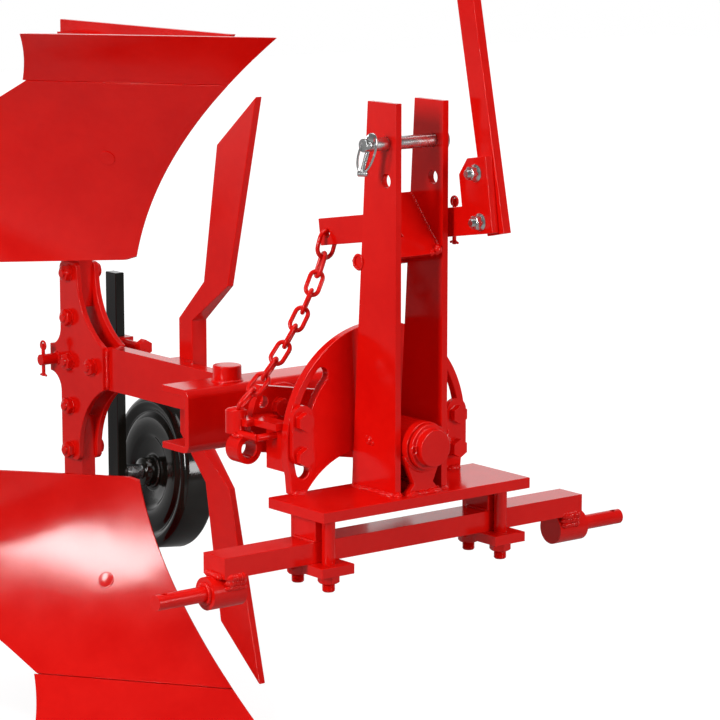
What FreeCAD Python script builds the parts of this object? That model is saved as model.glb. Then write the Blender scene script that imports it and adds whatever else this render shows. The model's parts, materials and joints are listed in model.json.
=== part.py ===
"""Single-furrow reversible mouldboard plough for a compact tractor.

Frame: +X is the direction of travel, +Y the plough's left, +Z up, in millimetres.
The origin is the midpoint of the axis of the two lower hitch pins.

The headstock carries a fore-and-aft shaft.  Everything behind it, from the channel
beam to the two bodies, turns over about that shaft, so that one body works while its
mirror image rides on top.  A hand lever on the left of the headstock lifts a rocker
arm, whose chain draws the latch.
"""

import FreeCAD, Part
import math
import os

import Sketcher
from FreeCAD import Vector, Rotation, Placement

doc = FreeCAD.newDocument("plough")
sheet = doc.addObject("Spreadsheet::Sheet", "sizes")

SIZES = {
    # three-point hitch
    "hitch_span": 683,
    "hitch_pin_dia": 22,
    "hitch_pin_long": 82,
    "lynch_hole_dia": 10,
    "lynch_hole_inset": 14,
    "boss_dia": 46,
    "boss_long": 55,
    "bar_inset": 15,
    "bar_wide": 50,
    "bar_high": 30,
    "bar_sink": 1.5,
    # clamps between cross bar and base plate
    "clamp_offset": 157,
    "clamp_bolt_dia": 19,
    "clamp_gap": 1,
    "clamp_nut_across": 27,
    "clamp_nut_high": 13,
    "clamp_bolt_tail": 12.5,
    "clamp_plate_long": 46,
    "clamp_plate_wide": 56,
    "clamp_plate_thick": 14.5,
    "spacer_thick": 30,
    "spacer_high": 35,
    # headstock
    "base_long": 376,
    "base_wide": 128,
    "base_thick": 16,
    "base_ahead": 1,
    "upright_outer": 47,
    "upright_thick": 10,
    "upright_front": 46,
    "upright_foot_wide": 99,
    "upright_top_wide": 63,
    "upright_margin": 56.5,
    "top_pin_dia": 19,
    "top_pin_ahead": 24,
    "top_pin_up": 597.5,
    "top_pin_clear": 0.3,
    "top_pin_reach": 88,
    "top_pin_head_dia": 34,
    "top_pin_head_thick": 7,
    "lower_hole_dia": 20,
    "lower_hole_drop": 51.9,
    "brace_thick": 8,
    "brace_low_ahead": 46,
    "brace_low_drop": 33,
    "brace_run": 70,
    "brace_rise": 80,
    "brace_notch_side": 20,
    "brace_notch_low": 22,
    # turnover shaft
    "shaft_up": 171,
    "shaft_dia": 53,
    "shaft_nose": 78.5,
    "sleeve_dia": 70,
    "sleeve_front": 57,
    "sleeve_clear": 0.08,
    "collar_gap": 1,
    "collar_thick": 8,
    "collar_dia": 66,
    "pedestal_thick": 12,
    "pedestal_front": 52,
    "pedestal_foot": 60,
    "pedestal_waist": 34,
    # quadrant with its arc slot and stops
    "quadrant_face": -52,
    "quadrant_thick": 14,
    "quadrant_radius": 163,
    "slot_radius": 140,
    "slot_wide": 22,
    "slot_end_angle": 15,
    "slot_top_angle": 44,
    "leg_foot_out": 141.5,
    "leg_foot_half": 13.5,
    "column_half": 36,
    "leg_arch_radius": 62,
    "pad_thick": 8,
    "pad_wide": 36,
    "pad_pitch": 50,
    "pad_shift": 11,
    "pad_lift": 5,
    "pad_bolt_across": 24,
    "pad_bolt_high": 10,
    # rocker and hand lever
    "rocker_ahead": -12,
    "rocker_up": 474,
    "rocker_dia": 20,
    "rocker_clear": 0.08,
    "rocker_gap": 1,
    "rocker_reach": 113,
    "rocker_inner": 40,
    "rocker_bush_dia": 26,
    "rocker_bush_start": -16,
    "rocker_tilt": 8.8,
    "cotter_dia": 6,
    "cotter_long": 66,
    "cotter_inset": 6,
    "arm_thick": 10,
    "arm_face": -32,
    "arm_tail": 137,
    "arm_above": 22,
    "arm_below": 17,
    "arm_hook_inset": 17,
    "arm_hook_up": 0,
    "arm_hook_dia": 13,
    "bracket_face": 58,
    "bracket_thick": 13,
    "bracket_boss_dia": 34,
    "bracket_leg": 20.5,
    "bracket_arm_back": 78,
    "bracket_arm_wide": 60.5,
    "bracket_top": 86.5,
    "bracket_chamfer": 21,
    "lever_lean": 12,
    "lever_front": 146,
    "lever_wide": 35.5,
    "lever_thick": 14,
    "lever_below": 30.5,
    "lever_above": 560,
    "lever_bolt_across": 18,
    "lever_bolt_dia": 12,
    "lever_bolt_flange": 25,
    "lever_bolt_in": 8,
    "lever_bolt_low": -10,
    "lever_bolt_pitch": 68,
    "lever_bolt_shift": 4,
    "lever_nut_flange": 2,
    "lever_bolt_tail": 6,
    "lever_head_high": 7,
    "grip_dia": 32,
    "grip_long": 130,
    "rest_bar_dia": 18,
    "rest_bar_behind": 25,
    "rest_gap": 13,
    # chain
    "link_wire": 6.5,
    "link_pitch": 28.5,
    "link_wide": 25,
    "link_slack": 0.7,
    "first_link_pitch": 33,
    "first_link_wide": 35,
    "chain_end_ahead": 11,
    "chain_twist": 38,
    "chain_belly": 142,
    "chain_swing": 43,
    # latch on the headstock
    "latch_up": 199,
    "latch_out": 186,
    "latch_back": 76,
    "latch_bar_thick": 10,
    "latch_bar_wide": 26,
    "latch_bar_long": 55,
    "latch_lug_dia": 30,
    "latch_lug_high": 32,
    "latch_eye_outer": 43,
    "latch_eye_bore": 27,
    "latch_eye_long": 28,
    "latch_eye_drop": 37,
    "latch_eye_in": 3,
    "latch_rod_dia": 10,
    "latch_web_thick": 10,
    "latch_web_long": 44,
    "latch_web_high": 66,
    "latch_web_out": 146,
    # turnover frame
    "disc_face": -147,
    "disc_thick": 13,
    "disc_radius": 156.5,
    "disc_half": 48,
    "hub_dia": 76,
    "disc_hole_dia": 18,
    "disc_hole_inset": 14,
    "disc_hole_step": 20,
    "disc_lean": 10,
    "disc_bolt_inset": 43,
    "disc_bolt_across": 24,
    "disc_bolt_high": 13,
    "channel_face": -286,
    "channel_deep": 68,
    "channel_high": 95,
    "channel_wall": 10,
    "channel_round": 14,
    "channel_half": 168,
    "channel_boss_dia": 43,
    "channel_boss_high": 24,
    "channel_boss_out": 72,
    "channel_boss_back": 36,
    "beam_thick": 25,
    "beam_high": 70,
    "beam_end": -735,
    "beam_lap": 0.5,
    "frog_thick": 10,
    "frog_centre": -832,
    "frog_arm_half": 23.5,
    "frog_arm_back": 28,
    "frog_corner": 11,
    "frog_sweep": 112,
    "frog_reach": 163,
    "frog_rear_end": 60,
    "frog_rear_half": 23,
    "frog_rear_round": 30,
    "bolt_pitch": 73,
    "frog_front_bolt": 68,
    "frog_bolt_across": 24,
    "frog_bolt_high": 12,
    "rear_pin_dia": 18,
    "rear_pin_reach": 54,
    "rear_pin_back": 40,
    "rear_cotter_long": 54,
    # coulters
    "stalk_inner": 46,
    "stalk_wide": 36,
    "stalk_thick": 29,
    "stalk_back": -618,
    "stalk_reach": 92,
    "coulter_bend_end": 160,
    "coulter_blade_face": 39,
    "coulter_blade_thick": 12,
    "coulter_blade_wide": 64,
    "coulter_blade_back": -539,
    "coulter_blade_rake": 10,
    "coulter_heel": 377,
    "coulter_tip": 458,
    "coulter_tip_ahead": -398,
    "coulter_bracket_high": 60,
    "coulter_bracket_thick": 14,
    # bodies
    "sole": 551,
    "wall_plane": 22.5,
    "point_ahead": -320,
    "shin_slope": 1.75,
    "shin_bow": 513,
    "twist_least": 36,
    "twist_height": 120,
    "twist_spread": 79,
    "share_high": 78,
    "share_thick": 9,
    "share_gap": 1,
    "cut_width": 250,
    "board_thick": 6,
    "board_top": 374,
    "board_reach": 470,
    "board_corner": 14,
    "board_tail_low": 175,
    "board_tail_in": 36,
    "board_heel": 330,
    "body_gap": 0.1,
    "web_thick": 10,
    "web_clear": 52,
    "web_foot": 20,
    "web_shoulder": 200,
    "flange_thick": 8,
    "flange_start": 43,
    "flange_wide": 110,
    "shank_wide": 54,
    "shank_centre": -842,
    "shank_nose": 150,
    "landside_high": 70,
    "landside_back": -900,
    "landside_thick": 10,
    "landside_clear": 0.2,
    # depth wheel
    "post_long": 30,
    "post_thick": 17,
    "post_face": 60,
    "post_centre": -834,
    "post_above": 139,
    "post_below": 206,
    "post_wall": 3,
    "socket_wall": 10,
    "socket_high": 66,
    "set_screw_dia": 14,
    "set_screw_long": 50,
    "set_screw_up": 24,
    "set_screw_across": 24,
    "axle_dia": 20,
    "axle_drop": 202,
    "axle_shoulder_dia": 26,
    "axle_nut_high": 8,
    "wheel_dia": 256,
    "wheel_camber": 5,
    "wheel_toe": 6,
    "wheel_wide": 62,
    "wheel_in": 124,
    "wheel_wall": 5,
    "wheel_dish": 14,
    "wheel_clear": 0.08,
    "wheel_gap": 1,
    "hub_out": 12,
    "wheel_hub_dia": 46,
}

for row, (word, number) in enumerate(SIZES.items(), start=1):
    sheet.set(f"A{row}", word)
    sheet.set(f"B{row}", str(number))
    sheet.setAlias(f"B{row}", word)
doc.recompute()


class Size:
    """A number together with the spreadsheet expression that gives it."""

    def __init__(self, value, text):
        self.value = float(value)
        self.text = text

    @staticmethod
    def of(other):
        if isinstance(other, Size):
            return other
        return Size(other, repr(float(other)))

    def join(self, other, sign, value):
        return Size(value, f"({self.text} {sign} {other.text})")

    def __add__(self, other):
        other = Size.of(other)
        return self.join(other, "+", self.value + other.value)

    def __sub__(self, other):
        other = Size.of(other)
        return self.join(other, "-", self.value - other.value)

    def __mul__(self, other):
        other = Size.of(other)
        return self.join(other, "*", self.value * other.value)

    def __truediv__(self, other):
        other = Size.of(other)
        return self.join(other, "/", self.value / other.value)

    def __neg__(self):
        return Size.of(0) - self

    def __radd__(self, other):
        return Size.of(other) + self

    def __rsub__(self, other):
        return Size.of(other) - self

    def __rmul__(self, other):
        return Size.of(other) * self

    def __rtruediv__(self, other):
        return Size.of(other) / self


def cosine(angle):
    angle = Size.of(angle)
    return Size(math.cos(math.radians(angle.value)), f"cos({angle.text} * 1 deg)")


def sine(angle):
    angle = Size.of(angle)
    return Size(math.sin(math.radians(angle.value)), f"sin({angle.text} * 1 deg)")


def arccosine(ratio):
    """The angle in degrees with that cosine."""
    return Size(math.degrees(math.acos(ratio.value)), f"(acos({ratio.text}) / 1 deg)")


class Sheet:
    """Sizes by name: s.base_long is the cell with that alias."""

    def __getattr__(self, word):
        return Size(float(sheet.get(word)), f"sizes.{word}")


s = Sheet()


# ---------------------------------------------------------------- helpers

def bind(thing, name, size):
    """Set a property's value and tie it to the sheet."""
    size = Size.of(size)
    setattr(thing, name, size.value)
    thing.setExpression(name, size.text)


def place(thing, x=0, y=0, z=0, axis=None, angle=0):
    """Place an object at sizes of the sheet, turned by a fixed or bound angle."""
    x, y, z, angle = Size.of(x), Size.of(y), Size.of(z), Size.of(angle)
    turn = Rotation(axis, angle.value) if axis else Rotation()
    thing.Placement = Placement(Vector(x.value, y.value, z.value), turn)
    for letter, size in (("x", x), ("y", y), ("z", z)):
        thing.setExpression(f".Placement.Base.{letter}", size.text)
    if axis and "sizes" in angle.text:
        thing.setExpression(".Placement.Rotation.Angle", f"{angle.text} * 1 deg")
    return thing


def box(name, x, y, z):
    """A block between the low and high sizes in each of x, y and z."""
    block = doc.addObject("Part::Box", name)
    bind(block, "Length", Size.of(x[1]) - x[0])
    bind(block, "Width", Size.of(y[1]) - y[0])
    bind(block, "Height", Size.of(z[1]) - z[0])
    return place(block, x[0], y[0], z[0])


AXES = {
    "x": (Vector(0, 1, 0), 90),
    "y": (Vector(1, 0, 0), -90),
    "z": (None, 0),
}


def rod(name, along, start, length, dia):
    """A round bar from start along x, y or z."""
    bar = doc.addObject("Part::Cylinder", name)
    bind(bar, "Radius", Size.of(dia) / 2)
    bind(bar, "Height", length)
    axis, angle = AXES[along]
    return place(bar, *start, axis, angle)


def hexagon(name, along, start, length, across):
    """A hexagonal bar from start along x, y or z, by its width across flats."""
    bar = doc.addObject("Part::Prism", name)
    bar.Polygon = 6
    bind(bar, "Circumradius", Size.of(across) / math.sqrt(3))
    bind(bar, "Height", length)
    axis, angle = AXES[along]
    return place(bar, *start, axis, angle)


def fuse(name, *pieces):
    whole = doc.addObject("Part::MultiFuse", name)
    whole.Shapes = list(pieces)
    return whole


def cut(name, base, *tools):
    """The base with the tools taken out of it."""
    result = doc.addObject("Part::Cut", name)
    result.Base = base
    result.Tool = tools[0] if len(tools) == 1 else fuse(name + "_tools", *tools)
    return result


def group(name, *pieces):
    """Several solids that don't touch, kept as one object."""
    together = doc.addObject("Part::Compound", name)
    together.Links = list(pieces)
    return together


def common(name, one, other):
    """What two objects share."""
    result = doc.addObject("Part::Common", name)
    result.Base = one
    result.Tool = other
    return result


PLANES = {"xy": "XY_Plane", "xz": "XZ_Plane", "yz": "YZ_Plane"}


def sketch_on(body, plane, name):
    """A sketch on one of the body's own origin planes."""
    sketch = body.newObject("Sketcher::SketchObject", name)
    role = PLANES[plane]
    support = [f for f in body.Origin.OriginFeatures if f.Role == role][0]
    sketch.AttachmentSupport = [(support, "")]
    sketch.MapMode = "FlatFace"
    return sketch


def bound_point(sketch, edge, end, point):
    """Hold one end of an edge at two sizes of the sheet."""
    for kind, size in (("DistanceX", point[0]), ("DistanceY", point[1])):
        size = Size.of(size)
        index = sketch.addConstraint(Sketcher.Constraint(kind, -1, 1, edge, end, size.value))
        sketch.setExpression(f"Constraints[{index}]", size.text)


def draw(sketch, corners):
    """Close an outline through its corners.

    A corner is (across, up).  Where it has a third value, that is the radius of the
    arc that runs on to the next corner, and a fourth, +1 or -1, says on which side of
    the chord the arc's centre lies: +1 is to the left of the way along the outline.
    """
    count = len(corners)
    ends = [Vector(Size.of(c[0]).value, Size.of(c[1]).value, 0) for c in corners]
    for i, corner in enumerate(corners):
        a, b = ends[i], ends[(i + 1) % count]
        if len(corner) == 2:
            sketch.addGeometry(Part.LineSegment(a, b), False)
        else:
            sketch.addGeometry(arc_between(a, b, Size.of(corner[2]).value, corner[3]), False)
    for i, corner in enumerate(corners):
        first, _ = edge_ends(sketch, i, ends[i])
        bound_point(sketch, i, first, corner[:2])
    for i, corner in enumerate(corners):
        _, last = edge_ends(sketch, i, ends[i])
        after = (i + 1) % count
        first, _ = edge_ends(sketch, after, ends[after])
        sketch.addConstraint(Sketcher.Constraint("Coincident", i, last, after, first))
        if len(corner) > 2:
            size = Size.of(corner[2])
            index = sketch.addConstraint(Sketcher.Constraint("Radius", i, size.value))
            sketch.setExpression(f"Constraints[{index}]", size.text)


def edge_ends(sketch, index, begin):
    """Which ends of an edge are its first and last on the way round the outline.

    A sketcher arc always runs anticlockwise, so a clockwise one starts at its end.
    """
    edge = sketch.Geometry[index]
    if isinstance(edge, Part.LineSegment):
        return 1, 2
    if edge.StartPoint.distanceToPoint(begin) < edge.EndPoint.distanceToPoint(begin):
        return 1, 2
    return 2, 1


def arc_between(a, b, radius, side):
    """The shorter arc of that radius from a to b, its centre left (+1) or right (-1)."""
    chord = b - a
    half = chord.Length / 2
    left = Vector(-chord.y, chord.x, 0).normalize()
    rise = math.sqrt(max(radius * radius - half * half, 0))
    centre = (a + b) * 0.5 + left * (side * rise)
    first, last = (a, b) if side > 0 else (b, a)
    begin = math.atan2(first.y - centre.y, first.x - centre.x)
    end = math.atan2(last.y - centre.y, last.x - centre.x)
    if end < begin:
        end += 2 * math.pi
    circle = Part.Circle(centre, Vector(0, 0, 1), radius)
    return Part.ArcOfCircle(circle, begin, end)


def plate(name, plane, corners, thick, holes=()):
    """A flat plate: a closed outline and its round holes, padded to its thickness.

    On xz the pad grows towards +Y, on yz towards +X and on xy towards +Z.
    A hole is (across, up, diameter).
    """
    body = doc.addObject("PartDesign::Body", name)
    sketch = sketch_on(body, plane, name + "_outline")
    draw(sketch, corners)
    for across, up, dia in holes:
        drill(sketch, across, up, dia)
    pad = body.newObject("PartDesign::Pad", name + "_pad")
    pad.Profile = sketch
    bind(pad, "Length", thick)
    pad.Reversed = plane == "xz"
    return body


def drill(sketch, across, up, dia):
    """A round hole in a sketch."""
    across, up, radius = Size.of(across), Size.of(up), Size.of(dia) / 2
    circle = Part.Circle(Vector(across.value, up.value, 0), Vector(0, 0, 1), radius.value)
    edge = sketch.addGeometry(circle, False)
    bound_point(sketch, edge, 3, (across, up))
    index = sketch.addConstraint(Sketcher.Constraint("Radius", edge, radius.value))
    sketch.setExpression(f"Constraints[{index}]", radius.text)


def turned(name, corners):
    """A solid of revolution about its own Y axis; corners are (along, radius)."""
    body = doc.addObject("PartDesign::Body", name)
    sketch = sketch_on(body, "yz", name + "_profile")
    draw(sketch, corners)
    spin = body.newObject("PartDesign::Revolution", name + "_spin")
    spin.Profile = sketch
    spin.ReferenceAxis = (sketch, ["H_Axis"])
    spin.Angle = 360
    return body


def mirrored(name, source, height):
    """The source's mirror image in the level plane at that height."""
    image = doc.addObject("Part::Mirroring", name)
    image.Source = source
    image.Normal = Vector(0, 0, 1)
    image.Base = Vector(0, 0, height.value)
    image.setExpression(".Base.z", height.text)
    return image


def shaped(name, shape):
    """A freeform piece whose shape is worked out from the sheet's values."""
    piece = doc.addObject("Part::Feature", name)
    piece.Shape = shape
    return piece


parts = {}


def keep(node, thing):
    """Name an object as one of the plough's pieces."""
    thing.Label = node
    parts[node] = thing
    return thing


# ---------------------------------------------------------------- three-point hitch

bar_half = s.hitch_span / 2 - s.bar_inset
bar_low = s.boss_dia / 2 - s.bar_sink
bar_top = bar_low + s.bar_high
half_span = s.hitch_span / 2
base_low = bar_top + s.spacer_high
base_top = base_low + s.base_thick


def hitch_pin(side):
    """A lower hitch pin with its boss; side is -1 on the right and +1 on the left."""
    word = "left" if side > 0 else "right"
    reach = half_span + s.hitch_pin_long
    inner = half_span - s.boss_long
    pin_start = inner if side > 0 else -reach
    boss_start = inner if side > 0 else -half_span
    pin = rod(f"pin_{word}", "y", (0, pin_start, 0), reach - inner, s.hitch_pin_dia)
    boss = rod(f"boss_{word}", "y", (0, boss_start, 0), s.boss_long, s.boss_dia)
    hole = rod(
        f"lynch_hole_{word}", "z", (0, side * (reach - s.lynch_hole_inset), -s.hitch_pin_dia),
        2 * s.hitch_pin_dia, s.lynch_hole_dia,
    )
    keep(f"hitch_pin_{word}", cut(f"{word}_pin_and_boss", fuse(f"{word}_pin_solid", pin, boss), hole))


for side in (-1, 1):
    hitch_pin(side)

bar_solid = box(
    "bar_solid", (-s.bar_wide / 2, s.bar_wide / 2), (-bar_half, bar_half), (bar_low, bar_top),
)
seats = [
    rod(f"bar_seat_{i}", "y", (0, start, 0), s.boss_long, s.boss_dia)
    for i, start in enumerate((-half_span, half_span - s.boss_long))
]
keep("cross_bar", cut("cross_bar_seated", bar_solid, *seats))

base_back = s.base_ahead - s.base_wide / 2
base_front = s.base_ahead + s.base_wide / 2
keep("base_plate", box(
    "base_solid", (base_back, base_front), (-s.base_long / 2, s.base_long / 2), (base_low, base_top),
))

# each bolt stands just clear of the cross bar and has a plate of its own under it
bolt_x = s.bar_wide / 2 + s.clamp_bolt_dia / 2 + s.clamp_gap
spacers = []
plates = []
bolts = []
plate_low = bar_low - s.clamp_plate_thick
nut_low = plate_low - s.clamp_nut_high
bolt_low = nut_low - s.clamp_bolt_tail
for i, side in enumerate((-1, 1)):
    mid = side * s.clamp_offset
    spacers.append(box(
        f"spacer_{i}", (-s.bar_wide / 2, s.bar_wide / 2),
        (mid - s.spacer_thick / 2, mid + s.spacer_thick / 2), (bar_top, base_low),
    ))
    for j, way in enumerate((-1, 1)):
        x = way * bolt_x
        plain = box(
            f"clamp_plain_{i}_{j}", (x - s.clamp_plate_long / 2, x + s.clamp_plate_long / 2),
            (mid - s.clamp_plate_wide / 2, mid + s.clamp_plate_wide / 2), (plate_low, bar_low),
        )
        hole = rod(
            f"clamp_hole_{i}_{j}", "z", (x, mid, plate_low), s.clamp_plate_thick, s.clamp_bolt_dia,
        )
        plates.append(cut(f"clamp_plate_{i}_{j}", plain, hole))
        stem = rod(
            f"bolt_stem_{i}_{j}", "z", (x, mid, bolt_low), base_low - bolt_low, s.clamp_bolt_dia,
        )
        nut = hexagon(
            f"bolt_nut_{i}_{j}", "z", (x, mid, nut_low), s.clamp_nut_high, s.clamp_nut_across,
        )
        bolts.append(fuse(f"clamp_bolt_{i}_{j}", stem, nut))
keep("clamp_spacers", group("spacer_pair", *spacers))
keep("clamp_plates", group("plate_set", *plates))
keep("clamp_bolts", group("bolt_set", *bolts))

# ---------------------------------------------------------------- headstock uprights

upright_back = s.upright_front - s.upright_foot_wide
upright_top = s.top_pin_up + s.upright_margin
upright_outline = [
    (upright_back, base_top),
    (s.upright_front, base_top),
    (s.upright_front, upright_top),
    (s.upright_front - s.upright_top_wide, upright_top),
]
pin_bore = s.top_pin_dia + 2 * s.top_pin_clear
rocker_bore = s.rocker_dia + 2 * s.rocker_clear
upright_holes = [
    (s.top_pin_ahead, s.top_pin_up, pin_bore),
    (s.top_pin_ahead, s.top_pin_up - s.lower_hole_drop, s.lower_hole_dia),
]
rocker_hole = [(s.rocker_ahead, s.rocker_up, rocker_bore)]
upright_inner = s.upright_outer - s.upright_thick
for word, face, more in (("right", -s.upright_outer, []), ("left", upright_inner, rocker_hole)):
    upright = plate(f"upright_{word}_body", "xz", upright_outline, s.upright_thick, upright_holes + more)
    keep(f"upright_{word}", place(upright, 0, face, 0))

brace_low = s.rocker_up - s.brace_low_drop
brace_top_x = s.brace_low_ahead - s.brace_run
brace_top_z = brace_low + s.brace_rise
brace = plate(
    "brace_body", "xz",
    [
        (s.brace_low_ahead, brace_low),
        (brace_top_x, brace_top_z),
        (brace_top_x - s.brace_thick, brace_top_z - s.brace_thick / 2),
        (s.brace_low_ahead - s.brace_thick, brace_low - s.brace_thick / 2),
    ],
    2 * upright_inner,
)
place(brace, 0, -upright_inner, 0)
notch_edge = s.brace_low_ahead - s.brace_notch_low
brace_notch = box(
    "brace_notch", (upright_back, notch_edge), (-upright_inner, s.brace_notch_side - upright_inner),
    (brace_low, brace_top_z),
)
keep("brace_plate", cut("brace_notched", brace, brace_notch))

rest_bar_x = s.rocker_ahead - s.rest_bar_behind
rest_bar_z = s.rocker_up - s.arm_below - s.rest_gap - s.rest_bar_dia
rest_bar = rod(
    "rest_bar_rod", "y", (rest_bar_x, -s.upright_outer, rest_bar_z), 2 * s.upright_outer, s.rest_bar_dia,
)
keep("arm_rest_bar", cut("rest_bar_fitted", rest_bar, parts["upright_right"], parts["upright_left"]))

rocker_bush_outer = rod(
    "rocker_bush_outer", "y", (s.rocker_ahead, s.rocker_bush_start, s.rocker_up),
    upright_inner - s.rocker_bush_start, s.rocker_bush_dia,
)
rocker_bush_bore = rod(
    "rocker_bush_bore", "y", (s.rocker_ahead, s.rocker_bush_start, s.rocker_up),
    upright_inner - s.rocker_bush_start, rocker_bore,
)
keep("rocker_bush", cut("rocker_bush_ring", rocker_bush_outer, rocker_bush_bore))

pin_stem = rod(
    "top_pin_stem", "y", (s.top_pin_ahead, -s.top_pin_reach, s.top_pin_up),
    s.top_pin_reach + s.upright_outer + s.top_pin_head_thick, s.top_pin_dia,
)
pin_head = rod(
    "top_pin_head", "y", (s.top_pin_ahead, s.upright_outer + s.top_pin_clear, s.top_pin_up),
    s.top_pin_head_thick, s.top_pin_head_dia,
)
keep("top_link_pin", fuse("top_pin_whole", pin_stem, pin_head))

# ---------------------------------------------------------------- shaft sleeve, pedestal, quadrant

quadrant_back = s.quadrant_face - s.quadrant_thick
sleeve_bore = s.shaft_dia + 2 * s.sleeve_clear
sleeve_long = s.sleeve_front - quadrant_back
sleeve_outer = rod("sleeve_outer", "x", (quadrant_back, 0, s.shaft_up), sleeve_long, s.sleeve_dia)
sleeve_inner = rod("sleeve_inner", "x", (quadrant_back, 0, s.shaft_up), sleeve_long, sleeve_bore)
keep("shaft_sleeve", cut("sleeve_tube", sleeve_outer, sleeve_inner))

pedestal = plate(
    "pedestal_body", "yz",
    [
        (-s.pedestal_foot / 2, base_top),
        (s.pedestal_foot / 2, base_top),
        (s.pedestal_waist / 2, base_top + s.pedestal_foot / 4),
        (s.sleeve_dia / 2, s.shaft_up - s.sleeve_dia / 6),
        (-s.sleeve_dia / 2, s.shaft_up - s.sleeve_dia / 6),
        (-s.pedestal_waist / 2, base_top + s.pedestal_foot / 4),
    ],
    s.pedestal_thick,
)
pedestal_back = s.pedestal_front - s.pedestal_thick
place(pedestal, pedestal_back, 0, 0)
pedestal_room = rod(
    "pedestal_room", "x", (pedestal_back, 0, s.shaft_up), s.pedestal_thick, s.sleeve_dia,
)
keep("sleeve_pedestal", cut("pedestal_fitted", pedestal, pedestal_room))


def polar(radius, degrees):
    """A point about the shaft in the transverse plane; 0 degrees is +Y, 90 up."""
    return radius * cosine(degrees), s.shaft_up + radius * sine(degrees)


rim_out, rim_up = polar(s.quadrant_radius, -s.slot_end_angle)

quadrant = doc.addObject("PartDesign::Body", "quadrant_body")
quadrant_sketch = sketch_on(quadrant, "yz", "quadrant_outline")
draw(quadrant_sketch, [
    (rim_out, rim_up, s.quadrant_radius, 1),
    (Size.of(0), s.shaft_up + s.quadrant_radius, s.quadrant_radius, 1),
    (-rim_out, rim_up),
    (-s.leg_foot_out - s.leg_foot_half, base_top),
    (-s.leg_foot_out + s.leg_foot_half, base_top, 2 * s.leg_arch_radius, -1),
    (-s.column_half, s.shaft_up - s.sleeve_dia / 4),
    (-s.column_half, base_top),
    (s.column_half, base_top),
    (s.column_half, s.shaft_up - s.sleeve_dia / 4, 2 * s.leg_arch_radius, -1),
    (s.leg_foot_out - s.leg_foot_half, base_top),
    (s.leg_foot_out + s.leg_foot_half, base_top),
])
drill(quadrant_sketch, 0, s.shaft_up, s.sleeve_dia)
quadrant_pad = quadrant.newObject("PartDesign::Pad", "quadrant_pad")
quadrant_pad.Profile = quadrant_sketch
bind(quadrant_pad, "Length", s.quadrant_thick)
place(quadrant, quadrant_back, 0, 0)


def slot_tip(degrees, way):
    """The middle of a slot's round end, half its width beyond the end's centre."""
    out, up = polar(s.slot_radius, degrees)
    step = way * s.slot_wide / 2
    return out - step * sine(degrees), up + step * cosine(degrees)


def arc_slot(word, low, high):
    """A cutter for one arc slot about the shaft, between two angles, with round ends."""
    outer = s.slot_radius + s.slot_wide / 2
    inner = s.slot_radius - s.slot_wide / 2
    body = doc.addObject("PartDesign::Body", f"slot_{word}")
    sketch = sketch_on(body, "yz", f"slot_{word}_outline")
    draw(sketch, [
        (*polar(outer, low), outer, 1),
        (*polar(outer, high), s.slot_wide / 2, 1),
        (*slot_tip(high, 1), s.slot_wide / 2, 1),
        (*polar(inner, high), inner, -1),
        (*polar(inner, low), s.slot_wide / 2, 1),
        (*slot_tip(low, -1), s.slot_wide / 2, 1),
    ])
    pad = body.newObject("PartDesign::Pad", f"slot_{word}_pad")
    pad.Profile = sketch
    bind(pad, "Length", s.quadrant_thick)
    return place(body, quadrant_back, 0, 0)


slots = [
    arc_slot("left", -s.slot_end_angle, s.slot_top_angle),
    arc_slot("right", 180 - s.slot_top_angle, 180 + s.slot_end_angle),
]
keep("quadrant_plate", cut(
    "quadrant_slotted", quadrant, *slots, parts["upright_right"], parts["upright_left"],
))

pad_front = s.quadrant_face + s.pad_thick
for side, word in ((-1, "right"), (1, "left")):
    mid = side * s.slot_radius
    bolt_mid = s.shaft_up - side * s.pad_shift
    low = bolt_mid + s.pad_lift - s.pad_pitch / 2
    high = bolt_mid + s.pad_lift + s.pad_pitch / 2
    pieces = [box(
        f"pad_block_{word}", (s.quadrant_face, pad_front),
        (mid - s.pad_wide / 2, mid + s.pad_wide / 2), (low, high),
    )]
    for i, up in enumerate((low, high)):
        pieces.append(rod(
            f"pad_end_{word}_{i}", "x", (s.quadrant_face, mid, up), s.pad_thick, s.pad_wide,
        ))
        pieces.append(hexagon(
            f"pad_bolt_{word}_{i}", "x", (s.quadrant_face, mid, up - s.pad_lift),
            s.pad_thick + s.pad_bolt_high, s.pad_bolt_across,
        ))
    keep(f"stop_pad_{word}", fuse(f"pad_{word}", *pieces))

# ---------------------------------------------------------------- rocker shaft, arm and hand lever

lever_outer = s.bracket_face + s.bracket_thick
rocker_end = s.upright_outer + s.rocker_gap
shaft_piece = rod(
    "rocker_rod", "y", (s.rocker_ahead, s.arm_face, s.rocker_up),
    s.rocker_reach - s.arm_face, s.rocker_dia,
)
cotter = rod(
    "rocker_cotter", "z",
    (s.rocker_ahead, s.rocker_reach - s.cotter_inset, s.rocker_up - s.cotter_long / 2),
    s.cotter_long, s.cotter_dia,
)
keep("rocker_shaft", fuse("rocker_shaft_whole", shaft_piece, cotter))

TILT = Vector(0, -1, 0)
arm = plate(
    "arm_body", "xz",
    [
        (-s.arm_tail, -s.arm_below),
        (0, -s.arm_below),
        (0, s.arm_above),
        (-s.arm_tail, s.arm_above),
    ],
    s.arm_thick,
    [(-s.arm_tail + s.arm_hook_inset, s.arm_hook_up, s.arm_hook_dia)],
)
place(arm, s.rocker_ahead, s.arm_face, s.rocker_up, TILT, s.rocker_tilt)
arm_hub = rod("arm_hub", "y", (s.rocker_ahead, s.arm_face, s.rocker_up), s.arm_thick, 2 * s.arm_below)
arm_bore = rod("arm_bore", "y", (s.rocker_ahead, s.arm_face, s.rocker_up), s.arm_thick, s.rocker_dia)
keep("rocker_arm", cut("arm_bored", fuse("arm_whole", arm, arm_hub), arm_bore))

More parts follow.
